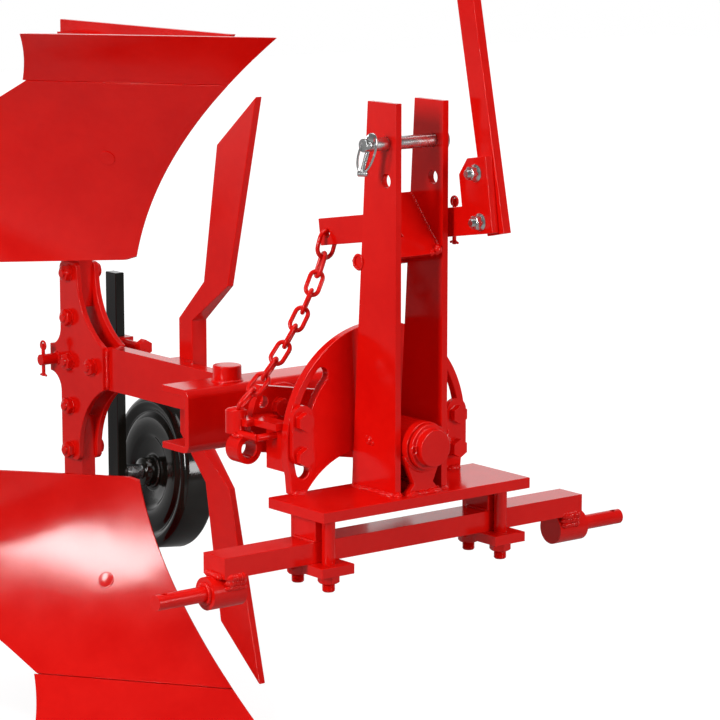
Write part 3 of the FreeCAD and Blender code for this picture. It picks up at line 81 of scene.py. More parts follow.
def add(tree, kind, settings=None, links=None):
    """A node in a tree: its settings are properties or input values, its links come from other outputs."""
    node = tree.nodes.new(kind)
    for key, value in (settings or {}).items():
        if isinstance(key, str) and hasattr(node, key):
            setattr(node, key, value)
        else:
            node.inputs[key].default_value = value
    for key, source in (links or {}).items():
        tree.links.new(source, node.inputs[key])
    return node


def surface_material(name, settings):
    """An empty surface material: its tree, its Principled shader and the Object coordinates."""
    made = bpy.data.materials.new(name)
    made.use_nodes = True
    tree = made.node_tree
    tree.nodes.clear()
    shader = add(tree, "ShaderNodeBsdfPrincipled", settings)
    add(tree, "ShaderNodeOutputMaterial", {}, {"Surface": shader.outputs["BSDF"]})
    place = add(tree, "ShaderNodeTexCoord").outputs["Object"]
    return made, tree, shader, place


def dress(tree, shader, colour, gloss, bump):
    """Give the shader its colour mix, its gloss range and its bumps."""
    tree.links.new(colour.outputs[2], shader.inputs["Base Color"])
    tree.links.new(gloss.outputs["Result"], shader.inputs["Roughness"])
    tree.links.new(bump.outputs["Normal"], shader.inputs["Normal"])


def enamel(name, full, thin, roughness, peel, ior):
    """Sprayed gloss enamel on steel.

    The film is thicker in places, so its colour drifts over a hand's width, its gloss drifts
    with it, and its skin has the fine waviness of sprayed paint that has not quite levelled.
    """
    hand, pool, wave, wave_high = 90 * MM, 14 * MM, 3 * MM, 0.2 * MM
    made, tree, shader, place = surface_material(name, {"IOR": ior})
    drift = add(tree, "ShaderNodeTexNoise", {"Scale": 1 / hand, "Detail": 3.0}, {"Vector": place})
    pooled = add(tree, "ShaderNodeTexNoise", {"Scale": 1 / pool, "Detail": 2.0}, {"Vector": place})
    both = add(
        tree, "ShaderNodeMath", {"operation": "MULTIPLY_ADD", 1: 0.3},
        {0: pooled.outputs["Fac"], 2: drift.outputs["Fac"]},
    )
    film = add(
        tree, "ShaderNodeMapRange", {"From Min": 0.45, "From Max": 0.85, "To Min": 0.0, "To Max": 1.0},
        {"Value": both.outputs["Value"]},
    )
    colour = add(
        tree, "ShaderNodeMix", {"data_type": "RGBA", 6: linear(full), 7: linear(thin)},
        {0: film.outputs["Result"]},
    )
    gloss = add(
        tree, "ShaderNodeMapRange",
        {"From Min": 0.3, "From Max": 0.7, "To Min": roughness * 0.8, "To Max": roughness * 1.3},
        {"Value": drift.outputs["Fac"]},
    )
    # Sprayed enamel levels into waves about 2 mm long; they are drawn 3 mm long to show.
    skin = add(tree, "ShaderNodeTexNoise", {"Scale": 1 / wave, "Detail": 1.0}, {"Vector": place})
    bump = add(
        tree, "ShaderNodeBump", {"Strength": peel, "Distance": wave_high}, {"Height": skin.outputs["Fac"]},
    )
    dress(tree, shader, colour, gloss, bump)
    return made


def zinc_plate(name):
    """Bright zinc plate on turned steel.

    The plate is slightly milky, bluish in places, and shows fine turning marks.
    """
    bloom, mark, mark_high = 12 * MM, 0.8 * MM, 0.1 * MM
    made, tree, shader, place = surface_material(name, {"Metallic": 1.0})
    cloud = add(tree, "ShaderNodeTexNoise", {"Scale": 1 / bloom, "Detail": 1.5}, {"Vector": place})
    colour = add(
        tree, "ShaderNodeMix", {"data_type": "RGBA", 6: linear("#cfd0ce"), 7: linear("#dfe1e3")},
        {0: cloud.outputs["Fac"]},
    )
    gloss = add(
        tree, "ShaderNodeMapRange", {"From Min": 0.3, "From Max": 0.7, "To Min": 0.2, "To Max": 0.3},
        {"Value": cloud.outputs["Fac"]},
    )
    # Turning marks are about 0.2 mm apart; they are drawn 0.8 mm apart to show.
    marks = add(tree, "ShaderNodeTexNoise", {"Scale": 1 / mark, "Detail": 1.0}, {"Vector": place})
    bump = add(
        tree, "ShaderNodeBump", {"Strength": 0.05, "Distance": mark_high}, {"Height": marks.outputs["Fac"]},
    )
    dress(tree, shader, colour, gloss, bump)
    return made


def moulded_vinyl(name):
    """Dipped black vinyl of a hand grip: nearly matt, with a fine pebbled skin."""
    grain, finger, grain_high = 1.5 * MM, 30 * MM, 0.3 * MM
    made, tree, shader, place = surface_material(name, {"IOR": 1.5})
    pebble = add(tree, "ShaderNodeTexVoronoi", {"Scale": 1 / grain}, {"Vector": place})
    wear = add(tree, "ShaderNodeTexNoise", {"Scale": 1 / finger, "Detail": 3.0}, {"Vector": place})
    colour = add(
        tree, "ShaderNodeMix", {"data_type": "RGBA", 6: linear("#171717"), 7: linear("#262524")},
        {0: wear.outputs["Fac"]},
    )
    gloss = add(
        tree, "ShaderNodeMapRange", {"From Min": 0.3, "From Max": 0.7, "To Min": 0.45, "To Max": 0.65},
        {"Value": wear.outputs["Fac"]},
    )
    bump = add(
        tree, "ShaderNodeBump", {"Strength": 0.5, "Distance": grain_high},
        {"Height": pebble.outputs["Distance"]},
    )
    dress(tree, shader, colour, gloss, bump)
    return made


red = enamel("gloss_red_enamel_on_steel", "#dc0a05", "#e61109", 0.14, 0.25, 1.42)
black = enamel("gloss_black_enamel_on_steel", "#110f0c", "#1a1713", 0.11, 0.25, 1.5)
zinc = zinc_plate("bright_zinc_plate")
vinyl = moulded_vinyl("dipped_vinyl_grip")
FINISH = {"red_paint": red, "black_paint": black, "zinc_plate": zinc, "grip_rubber": vinyl}


# ---------------------------------------------------------------- solids carried over

slot_of = {part["node"]: part["material_slot"] for part in frame["record"]["subparts"]}
for node, solid in frame["nodes"].items():
    solid.data.materials.clear()
    solid.data.materials.append(FINISH[slot_of[node]])


# ---------------------------------------------------------------- surfaces

def across(axis):
    """Two unit directions square to an axis and to each other, right-handed with it."""
    axis = np.asarray(axis, float) / np.linalg.norm(axis)
    helper = np.array([0.0, 0.0, 1.0]) if abs(axis[2]) < 0.9 else np.array([1.0, 0.0, 0.0])
    first = np.cross(helper, axis)
    first /= np.linalg.norm(first)
    return axis, first, np.cross(axis, first)


def ring_of(around, start=0.0):
    """Cosines and sines of equal steps once round a circle, as two columns."""
    turn = 2 * math.pi * np.arange(around) / around + start
    return np.stack([np.cos(turn), np.sin(turn)], -1)


def shell(rings, ends="closed"):
    """A skin over rings of points, in millimetres: quads between neighbours, a fan over each end.

    ends is "closed" for fans, or "loop" where the last ring joins the first.
    """
    rings = np.asarray(rings, float)
    count, around, _ = rings.shape
    points = rings.reshape(-1, 3)
    steps = count if ends == "loop" else count - 1
    i, j = np.meshgrid(np.arange(steps), np.arange(around), indexing="ij")
    here, there = i * around, ((i + 1) % count) * around
    beside = (j + 1) % around
    quads = np.stack([here + j, here + beside, there + beside, there + j], -1).reshape(-1, 4)
    tris = np.zeros((0, 3), int)
    if ends != "loop":
        first, last = len(points), len(points) + 1
        points = np.vstack([points, rings[0].mean(0), rings[-1].mean(0)])
        j = np.arange(around)
        beside = (j + 1) % around
        low = np.stack([np.full(around, first), beside, j], -1)
        high = np.stack([np.full(around, last), (count - 1) * around + j, (count - 1) * around + beside], -1)
        tris = np.vstack([low, high])
    a, b, c, d = (points[quads[:, k]] for k in range(4))
    inside = np.einsum("ij,ij->", np.cross(a, b), c) + np.einsum("ij,ij->", np.cross(a, c), d)
    a, b, c = (points[tris[:, k]] for k in range(3))
    inside += np.einsum("ij,ij->", np.cross(a, b), c)
    if inside < 0:
        quads, tris = quads[:, ::-1], tris[:, ::-1]
    return points, quads, tris


def turned(base, axis, profile, around=40, ends="closed"):
    """A body of revolution: each profile pair is a height along the axis and a radius there.

    With ends "loop" the pairs close up into the section of a ring.
    """
    axis, first, second = across(axis)
    profile = np.asarray(profile, float)
    turn = ring_of(around)
    spokes = turn[:, :1] * first + turn[:, 1:] * second
    rings = np.asarray(base, float) + profile[:, 0, None, None] * axis + profile[:, 1, None, None] * spokes
    return shell(rings, ends)


def hexagon(base, axis, wide, high, spin=0.0, both=False):
    """A hexagon head or nut: at each height the radius is the lesser of the flats' and a cone's.

    The flats' radius is half the width over the cosine of the angle from the nearest flat; the
    cone, whose sides stand at 60 degrees, cuts the corners at the top, and at the bottom too
    where both is set, as on a nut.
    """
    around, steepness = 48, 1.73
    face_radius = 0.95 * wide / 2
    axis, first, second = across(axis)
    turn = 2 * math.pi * np.arange(around) / around
    from_flat = (turn + math.pi / 6) % (math.pi / 3) - math.pi / 6
    flats = wide / 2 / np.cos(from_flat)
    drop = wide * 0.1
    up = np.linspace(0, drop, 6)
    heights = np.concatenate([[0], up[1:] if both else [drop], high - up[::-1]])
    cone = face_radius + (high - heights) * steepness
    if both:
        cone = np.minimum(cone, face_radius + heights * steepness)
    radius = np.minimum(flats[None, :], cone[:, None])
    spun = ring_of(around, spin)
    spokes = spun[:, :1] * first + spun[:, 1:] * second
    rings = np.asarray(base, float) + heights[:, None, None] * axis + radius[..., None] * spokes
    return shell(rings)


def threaded(base, axis, dia, high, pitch):
    """A screw's end: rings of thread with rounded crests a pitch apart, and a chamfered tip.

    The radius falls below the crest by half the groove's depth times one less the cosine of the
    height, which runs once round for each pitch.
    """
    steps, tip, groove, tip_radius = 4, 0.12 * dia, 0.055 * dia, 0.4 * dia
    count = max(2, int(high / pitch)) * steps
    mark = np.arange(count + 1)
    up = mark * (high - tip) / count
    depth = groove * (1 - np.cos(2 * math.pi * mark / steps)) / 2
    profile = [(u, dia / 2 - d) for u, d in zip(up, depth)] + [(high, tip_radius)]
    return turned(base, axis, profile, 28)


def carried(route, section, ends="closed"):
    """A section carried along a route without twist.

    section gives, for each point of the route, a ring of (out, up) offsets. The frame at each
    point is the last one turned by the least turn that follows the route's direction.
    """
    route = np.asarray(route, float)
    ahead = np.roll(route, -1, 0) if ends == "loop" else np.vstack([route[1:], 2 * route[-1] - route[-2]])
    behind = np.roll(route, 1, 0) if ends == "loop" else np.vstack([2 * route[0] - route[1], route[:-1]])
    along = ahead - behind
    along /= np.linalg.norm(along, axis=1)[:, None]
    _, out, _ = across(along[0])
    outs = []
    for direction in along:
        out = out - direction * out.dot(direction)
        out /= np.linalg.norm(out)
        outs.append(out)
    outs = np.array(outs)
    ups = np.cross(along, outs)
    section = np.asarray(section, float)
    if section.ndim == 2:
        section = np.repeat(section[None], len(route), 0)
    rings = route[:, None] + section[..., 0, None] * outs[:, None] + section[..., 1, None] * ups[:, None]
    return shell(rings, ends)


def along_route(route):
    """How far along the route each of its points is: the running sum of its steps."""
    return np.concatenate([[0], np.cumsum(np.linalg.norm(np.diff(route, axis=0), axis=1))])


def marked(route, run, marks):
    """The points of a route at some marks along its run."""
    return np.stack([np.interp(marks, run, route[:, k]) for k in range(3)], -1)


def even(route, step):
    """The same route with points an even step apart."""
    route = np.asarray(route, float)
    run = along_route(route)
    return marked(route, run, np.linspace(0, run[-1], max(3, int(run[-1] / step) + 1)))


def rounded(route, reach=4.0, step=1.0):
    """An even route whose corners are eased by averaging each point with its neighbours."""
    line = even(route, step)
    for _ in range(int(reach / step)):
        line[1:-1] = (line[:-2] + 2 * line[1:-1] + line[2:]) / 4
    return line


def wire(route, dia, sides=12, ends="closed"):
    """A round wire along a route; closed ends are domed by shrinking the last rings."""
    end_share = 0.55
    rings = np.repeat((ring_of(sides) * dia / 2)[None], len(route), 0)
    if ends == "closed":
        rings[0] *= end_share
        rings[-1] *= end_share
    return carried(route, rings, ends)


def arc(centre, axis, radius, start, stop, count=24):
    """Points of an arc about a centre: angles in degrees from the axis's first cross direction."""
    _, first, second = across(axis)
    turn = np.radians(np.linspace(start, stop, count))
    spokes = np.cos(turn)[:, None] * first + np.sin(turn)[:, None] * second
    return np.asarray(centre, float) + radius * spokes


def circle(centre, axis, radius, count=72):
    """A whole circle as a route that joins up, with its start not repeated."""
    return arc(centre, axis, radius, 0, 360, count)[:-1]


def bead(route, dia, seed=1, ends="closed"):
    """A hand-laid weld bead: a round section whose radius swells at each dab of the rod.

    The radius is the mean one times a row of rounded scallops, one to a dab, times a slow random
    swelling; the centre wanders sideways by a few tenths of a millimetre.
    """
    step, dab_long, swell_long, wander, unsteady = 0.9, 3.5, 7.0, 0.35, 0.25
    line = even(route, step)
    rng = np.random.default_rng(seed)
    run = along_route(line)
    marks = np.arange(0, run[-1] + 2 * swell_long, swell_long)

    def slow(least, most):
        """A random value every swelling's length, joined by straight lines along the run."""
        return np.interp(run, marks, rng.uniform(least, most, len(marks)))

    swell = slow(0.82, 1.22)
    dab = np.abs(np.sin(math.pi * (run / dab_long + unsteady * slow(-1, 1))))
    radius = dia / 2 * swell * (0.86 + 0.2 * dab)
    if ends == "closed":
        tip = np.minimum(run, run[-1] - run)
        radius = radius * np.sqrt(np.clip(tip / (0.6 * dia), 0.03, 1))
    line = line + np.stack([slow(-wander, wander) for _ in range(3)], -1)
    return carried(line, radius[:, None, None] * ring_of(10)[None], ends)


def piece(name, shells, body, slot, stands_for=(), sharp=38):
    """One object of several skins, given in millimetres, riding on a body unless that is None.

    Edges that turn by more than sharp degrees stay crisp.
    """
    points, faces, start = [], [], 0
    for skin, quads, tris in shells:
        points.append(skin * MM)
        faces += (quads + start).tolist() + (tris + start).tolist()
        start += len(skin)
    mesh = bpy.data.meshes.new(name)
    mesh.from_pydata(np.vstack(points).tolist(), [], faces)
    mesh.update()
    mesh.shade_smooth()
    mesh.set_sharp_from_angle(angle=math.radians(sharp))
    mesh.materials.append(FINISH[slot])
    made = bpy.data.objects.new(name, mesh)
    scene.collection.objects.link(made)
    if body:
        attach(made, body)
    if stands_for:
        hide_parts(*stands_for)
    return made


# ---------------------------------------------------------------- rounded plates and bars

body_of_node = {n: b for b, nodes in frame["record"]["behaviour"]["bodies"].items() for n in nodes}


def softened(node, radius):
    """The solid again with its sharp edges rounded, as rolled, sawn or ground steel has them under paint.

    Its loose triangles are merged, and those in one plane are joined so that only real edges round:
    points merge within two thousandths of a millimetre, and the three angles are in degrees.
    """
    same_point, same_plane, crisp, rounds_from = 2e-6, 0.4, 28, 32
    work = bmesh.new()
    work.from_mesh(frame["nodes"][node].data)
    bmesh.ops.remove_doubles(work, verts=work.verts, dist=same_point)
    bmesh.ops.dissolve_limit(
        work, angle_limit=math.radians(same_plane), verts=work.verts, edges=work.edges, delimit={"NORMAL"},
    )
    mesh = bpy.data.meshes.new(f"{node}_rounded")
    work.to_mesh(mesh)
    work.free()
    mesh.shade_smooth()
    mesh.set_sharp_from_angle(angle=math.radians(crisp))
    mesh.materials.clear()
    mesh.materials.append(FINISH[slot_of[node]])
    made = bpy.data.objects.new(f"{node}_rounded", mesh)
    scene.collection.objects.link(made)
    ease = made.modifiers.new("rounded_edges", "BEVEL")
    ease.width = radius * MM
    ease.segments = 2
    ease.limit_method = "ANGLE"
    ease.angle_limit = math.radians(rounds_from)
    ease.harden_normals = True
    ease.use_clamp_overlap = True
    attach(made, body_of_node[node])
    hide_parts(node)


# Rounding of each solid's edges in millimetres. A solid that isn't named keeps its own edges or
# has its own piece further on.
EDGE = {
    "hitch_pin_right": 1.6, "hitch_pin_left": 1.6, "cross_bar": 1.8, "base_plate": 1.3, "clamp_spacers": 1.0,
    "clamp_plates": 2.0, "upright_right": 1.2, "upright_left": 1.2, "brace_plate": 1.0, "arm_rest_bar": 1.0,
    "rocker_bush": 0.8, "top_link_pin": 1.0, "shaft_sleeve": 1.2, "sleeve_pedestal": 1.0,
    "quadrant_plate": 1.6, "stop_pad_right": 1.4, "stop_pad_left": 1.4, "latch": 1.3, "latch_eye": 1.5,
    "rocker_arm": 1.0, "lever_bracket": 1.0, "hand_lever": 0.9, "turnover_shaft": 1.6,
    "index_plate": 1.6, "hub_tube": 1.0,
    "channel_beam": 1.0, "channel_boss": 2.0, "plough_beam": 1.2, "frog_plate_right": 1.6,
    "frog_plate_left": 1.6, "mouldboard_lower": 0.9, "mouldboard_upper": 0.9, "share_lower": 0.9,
    "share_upper": 0.9, "leg_lower": 1.0, "leg_upper": 1.0, "landside_lower": 1.4, "landside_upper": 1.4,
    "coulter_lower": 1.3, "coulter_upper": 1.3, "coulter_bracket": 1.0, "wheel_post": 1.2, "post_socket": 1.4,
    "wheel_axle": 1.0,
}
for node, radius in EDGE.items():
    softened(node, radius)


# ---------------------------------------------------------------- places that pieces share

# Directions, and places in millimetres.
RIGHT, LEFT, AHEAD = (0, -1, 0), (0, 1, 0), (1, 0, 0)
UP, DOWN = (0, 0, 1), (0, 0, -1)

SHAFT_UP = 171          # the shaft, about which the frame turns over
ON_BASE = 103           # welds on the base plate, half a millimetre over its face
UPRIGHT_OUT = 47        # outer faces of the two uprights, either side of the middle
UPRIGHT_IN = 37         # their inner faces
CLAMP_SIDE = 157        # middle of each clamp and spacer, either side
BOLT_COLUMN = -832      # the frog's column of bolts
BOLT_PITCH = 73         # from one of them to the next
FROG_FACE = 22.4        # washers on the two frog plates, bedded a tenth into their outer faces
ROCKER = np.array([-12.0, -27.0, 474.0])            # the rocker shaft, in the middle of its arm
WHEEL = np.array([-828.17, 124.0, -31.0])           # the depth wheel's near face, on its axle
AXLE = np.array([0.10413, 0.99074, -0.08716])       # the way that the axle points, outwards


# ---------------------------------------------------------------- bolts

def washer(base, axis, radius, thick, ease):
    """A flat washer: a low cylinder whose upper edge is eased."""
    return turned(base, axis, [(0, radius), (thick, radius), (thick + 0.4, radius - ease)])


# Clamp bolts: bars with a screwed lower end, a nut under each clamp plate and a weld at the top.
clamp_parts, clamp_welds = [], []
for x in (-35.5, 35.5):
    for y in (-CLAMP_SIDE, CLAMP_SIDE):
        foot = (x, y, -6)
        clamp_parts.append(turned(foot, UP, [(0, 9.1), (1, 9.5), (92.5, 9.5)], 36))
        clamp_parts.append(threaded(foot, DOWN, 18.6, 12.5, 2.5))
        clamp_parts.append(hexagon((x, y, 6.9), DOWN, 27, 12.9, 0.3, both=True))
        clamp_welds.append(bead(circle((x, y, 85.6), UP, 10.5, 60), 7.0, int(x + y + 300), "loop"))
piece("clamp_bolts_screwed", clamp_parts, "headstock", "red_paint", ["clamp_bolts"])
piece("clamp_bolt_welds", clamp_welds, "headstock", "red_paint")

# Bolts of the frog: a head on the landside, a washer, nut and screwed tip on the ploughing side.
# The post's socket covers the head of the column's middle bolt.
covered = (BOLT_COLUMN, SHAFT_UP)
frog_places = [(BOLT_COLUMN, SHAFT_UP + BOLT_PITCH * k) for k in (-2, -1, 0, 1, 2)]
frog_places.append((BOLT_COLUMN + 68, SHAFT_UP))
frog_washer = 2.2
frog_parts = []
for i, (x, z) in enumerate(frog_places):
    spin = 0.4 * i
    frog_parts.append(washer((x, -FROG_FACE, z), RIGHT, 14, frog_washer, 0.6))
    frog_parts.append(hexagon((x, -FROG_FACE - frog_washer, z), RIGHT, 24, 9.4, spin, both=True))
    frog_parts.append(threaded((x, -33, z), RIGHT, 14.5, 5, 1.8))
    if (x, z) != covered:
        frog_parts.append(washer((x, FROG_FACE, z), LEFT, 14, frog_washer, 0.6))
        frog_parts.append(hexagon((x, FROG_FACE + frog_washer, z), LEFT, 24, 9.6, spin + 0.2))
piece("frog_bolts_cut", frog_parts, "turnover", "red_paint", ["frog_bolts"])

# Bolts that the index plate carries, one at each end, with washers bedded a tenth into its face.
index_face, index_washer = -147.1, 2.0
index_parts = []
for side in (-1, 1):
    y, z = side * 106.66, SHAFT_UP - side * 38.8
    index_parts.append(washer((index_face, y, z), AHEAD, 13.5, index_washer, 0.5))
    index_parts.append(hexagon((index_face + index_washer, y, z), AHEAD, 24, 10.9, 0.1 * y))
piece("index_bolts_cut", index_parts, "turnover", "red_paint", ["index_bolts"])

# Zinc flange nuts, tips and heads that hold the hand lever to its bracket.
flange = [(0, 12.5), (1.1, 12.5), (2.0, 11.6), (3.4, 9.6), (4.4, 9.0), (5, 8)]
lever_parts = []
for i, (x, z) in enumerate([(102.1, 488.0), (91.85, 555.4)]):
    lever_parts.append(turned((x, 58, z), RIGHT, flange, 44))
    lever_parts.append(hexagon((x, 55.4, z), RIGHT, 18, 9.2, 0.5 + i, both=True))
    lever_parts.append(threaded((x, 47, z), RIGHT, 11.6, 7, 1.75))
    lever_parts.append(hexagon((x, 85, z), LEFT, 18, 7.0, 0.2 + i))
piece("lever_bolts_cut", lever_parts, "lever", "zinc_plate", ["lever_bolts"])


# ---------------------------------------------------------------- chain and grip

# Slack chain from the arm's hook hole to the latch lug.
tilt = math.radians(8.8)
arm_long = 120
hook = ROCKER + np.array([-arm_long * math.cos(tilt), 0, -arm_long * math.sin(tilt)])
belly = hook + np.array([0, -43.0, -142.0])
low_end = np.array([-131.0, -186.0, 222.2])
link_bar = 6.5


def chain_joints(first=33.0, pitch=28.5):
    """Joints down a parabola from the hook to the lug: one long pitch, then equal ones."""
    f = np.linspace(0, 1, 2001)[:, None]
    spots = hook * (1 - f) ** 2 + belly * (2 * f * (1 - f)) + low_end * f ** 2
    run = along_route(spots)
    count = round((run[-1] - first) / pitch)
    return marked(spots, run, np.concatenate([[0], np.linspace(first, run[-1], count + 1)]))


def link(start, end, flat, wide, slack=0.7):
    """A link's centreline: two straight runs joined by half circles, as a closed loop of points."""
    long = np.linalg.norm(end - start)
    along = (end - start) / long
    flat = flat - along * flat.dot(along)
    flat /= np.linalg.norm(flat)
    bend = wide / 2 - link_bar / 2
    inner = long / 2 + link_bar / 2 + slack / 2 - bend
    turn = np.linspace(0, math.pi, 13)[:, None]
    half = along * (inner + bend * np.sin(turn)) + flat * (bend * np.cos(turn))
    return (start + end) / 2 + np.vstack([half, -half])


# Links lie crosswise in turn; over its first two joints the chain twists to face the lug.
joints = chain_joints()
links = []
for i, (start, end) in enumerate(zip(joints, joints[1:])):
    twist = math.radians(38) * min(i, 2) / 2
    flat = np.array([math.sin(twist), math.cos(twist), 0])
    if i % 2:
        flat = np.cross(end - start, flat)
    wide = 35.0 if i == 0 else 25.0
    links.append(wire(link(start, end, flat, wide), link_bar, 14, "loop"))
chain = piece("latch_chain_forged", links, None, "red_paint", ["latch_chain"])
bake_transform(chain)

# Grip: a dipped sleeve with finger rings, a collar below and a domed end.
lean = math.radians(12)
grip_axis = (-math.sin(lean), 0, math.cos(lean))
grip_low = np.array([-2.35, 78.0, 1049.2])
finger_pitch, groove, swell = 13, 14.4, 15.4
grip_profile = [(-3, 12.5), (-2, 15), (0, 16), (4, 16), (6, 14.6)]
for k in range(8):
    up = 10 + finger_pitch * k
    grip_profile += [(up, groove), (up + 3, swell), (up + 7, swell), (up + 10, groove)]
grip_profile += [(117, 15.0), (121, 15.9), (125, 15.6), (128, 13.5), (129.6, 9), (130, 3)]
grip = turned(grip_low, grip_axis, grip_profile, 48)
piece("lever_grip_dipped", [grip], "lever", "grip_rubber", ["lever_grip"])


# ---------------------------------------------------------------- depth wheel

# A pressed disc with a rolled shoulder, a stepped dish and a hub: each pair is a distance out
# along the axle and a radius, round the section from the bore's near end to its far end.
near_face = [
    (-12, 10.2), (-12, 21.5), (-10.8, 22.8), (9, 23), (11, 26), (10.2, 34), (8.6, 44), (7.6, 54), (6.6, 58),
    (3.2, 62), (2.2, 66), (2.0, 90), (2.6, 95), (5.4, 98.5), (6.2, 101), (5.0, 104.5), (1.8, 108),
    (0.6, 112), (0.0, 116), (0.8, 120.5), (2.8, 124.2), (5.8, 126.8), (9.5, 128),
]
far_face = [
    (55, 128), (58.5, 126.8), (61, 124.6), (62, 122.4), (61.4, 121), (58, 120.6), (22, 121.6), (15, 119),
    (10.5, 112), (9.6, 104), (8.2, 96), (7.4, 68), (10, 62), (13.5, 56), (17, 36), (19, 23), (61, 23),
    (62, 21.5), (62, 10.2),
]
pressed = turned(WHEEL, AXLE, near_face + far_face, 96, "loop")
piece("depth_wheel_pressed", [pressed], "wheel", "black_paint", ["wheel"], 50)

# A weld round the hub, and three tacks a third of a turn apart.
tack_ring = WHEEL - 3 * AXLE
tack = [(-2, 4.6), (2.2, 4.6), (3.8, 3.4), (4.6, 1.6)]
hub_welds = [bead(circle(WHEEL + 9.5 * AXLE, AXLE, 24.5, 90), 6.5, 31, "loop")]
hub_welds += [turned(spot, spot - tack_ring, tack, 20) for spot in arc(tack_ring, AXLE, 22.0, 0, 240, 3)]
piece("wheel_hub_welds", hub_welds, "wheel", "black_paint")


# ---------------------------------------------------------------- welds

def run_x(start, stop, y, z, dia):
    """A straight weld along X: its two ends and its width."""
    return [(start, y, z), (stop, y, z)], dia


def run_y(start, stop, x, z, dia):
    """A straight weld along Y: its two ends and its width."""
    return [(x, start, z), (x, stop, z)], dia


def run_z(start, stop, x, y, dia):
    """A straight weld along Z: its two ends and its width."""
    return [(x, y, start), (x, y, stop)], dia


SIDES = (-1, 1)
HEADSTOCK_WELDS = [
    # uprights on the base plate: beside both faces, then across the front edges
    *[
        run_x(-51, 45, side * y, ON_BASE, 8.0)
        for y in (UPRIGHT_IN - 0.6, UPRIGHT_OUT + 0.6) for side in (1, -1)
    ],
    *[run_y(low, low + 14, 46.5, ON_BASE + 0.4, 9.0) for low in (-49, 35)],
    # quadrant feet and web on the base plate
    *[run_y(low, low + 25, -51.6, ON_BASE + 0.2, 9.0) for low in (-154, 129)],
    run_y(-35, 35, -51.6, ON_BASE, 6.0),
    # pedestal foot, front and back
    run_y(-31, 31, 52.6, ON_BASE + 0.2, 9.5),
    run_y(-29, 29, 39.4, ON_BASE, 7.0),
    # cross bar on the bosses: three runs on each other at both faces, one run over the end
    *[
        run_y(side * 288, side * 324, face * x, z, dia)
        for side in SIDES for face in SIDES
        for x, z, dia in ((23.4, 22, 12.0), (21.5, 15, 13.0), (22, 8, 9.0))
    ],
    *[([(-20, side * 326.8, 24), (0, side * 327.4, 24.6), (20, side * 326.8, 24)], 9.0) for side in SIDES],
    # spacers between cross bar and base plate
    *[
        run_x(-24, 24, side * CLAMP_SIDE + edge * 15.6, z, 5.5)
        for side in SIDES for edge in SIDES for z in (52, 86)
    ],
    # brace between the uprights
    *[([(45.4, y, 441), (-23.6, y, 519.5)], 6.0) for y in (0.6 - UPRIGHT_IN, UPRIGHT_IN - 0.6)],
    # latch web on the quadrant
    *[run_z(136, 191, -66.8, y, 6.0) for y in (-156.4, -145.6)],
]
# Rings give a centre, an axis, a radius and the bead's width, then the angles if not a whole turn.
HEADSTOCK_RINGS = [
    # shaft sleeve on the quadrant, and its lower half on the pedestal
    ((-52.2, 0, SHAFT_UP), AHEAD, 35.6, 7.0),
    ((52.2, 0, SHAFT_UP), AHEAD, 35.4, 6.0, 200, 340),
    # the arm's rest bar in the uprights, and the rocker shaft's bush
    *[((-37, side * (UPRIGHT_OUT + 0.4), 426), LEFT, 9.6, 4.5) for side in SIDES],
    ((-12, UPRIGHT_IN - 0.4, 474), LEFT, 13.4, 5.0),
    # hitch pins in their bosses, and the latch's eye under its lug
    *[((0, side * 342, 0), LEFT, 12.6, 7.0) for side in SIDES],
    ((-128, -183, 181.6), UP, 14.5, 5.5),
]
TURNOVER_WELDS = [
    # beam in the channel and between the frog plates
    *[run_z(138, 205, -296.8, y, 7.0) for y in (-13, 13)],
    *[run_z(137, 205, -734.2, y, 7.5) for y in (-14, 14)],
    # coulter bracket on beam and stalk
    *[run_z(142, 200, x, y, 5.5) for y in (13, 45.6) for x in (-618.6, -581.4)],
    # post socket on the frog plate
    *[run_z(139, 203, x, 23, 6.0) for x in (-859.6, -808.4)],
    # landside on the leg
    *[run_x(-862, -470, 12.8, z, 6.0) for z in (-309.4, 651.4)],
]
TURNOVER_RINGS = [
    # hub tube at both ends, shaft in the index plate
    ((-160.6, 0, SHAFT_UP), AHEAD, 38.4, 7.5),
    ((-285.4, 0, SHAFT_UP), AHEAD, 38.4, 7.5),
    ((-146.6, 0, SHAFT_UP), AHEAD, 27.0, 6.5),
    # channel boss, rear pin
    ((-322, -72, 219), UP, 21.8, 5.5),
    ((-872, -22.9, SHAFT_UP), LEFT, 9.6, 4.5),
]


def laid(runs, rings, seed):
    """All the beads of one body: straight runs, then rings."""
    beads = [bead(run, dia, seed + i) for i, (run, dia) in enumerate(runs)]
    for i, (centre, axis, radius, dia, *span) in enumerate(rings):
        route = arc(centre, axis, radius, *span, 72) if span else circle(centre, axis, radius)
        beads.append(bead(route, dia, seed + 90 + i, "closed" if span else "loop"))
    return beads


piece("headstock_welds", laid(HEADSTOCK_WELDS, HEADSTOCK_RINGS, 1), "headstock", "red_paint")
piece("turnover_welds", laid(TURNOVER_WELDS, TURNOVER_RINGS, 300), "turnover", "red_paint")
axle_weld = bead(circle(WHEEL - 46.0 * AXLE, AXLE, 13.6, 60), 6.0, 77, "loop")
piece("axle_weld", [axle_weld], "turnover", "black_paint")

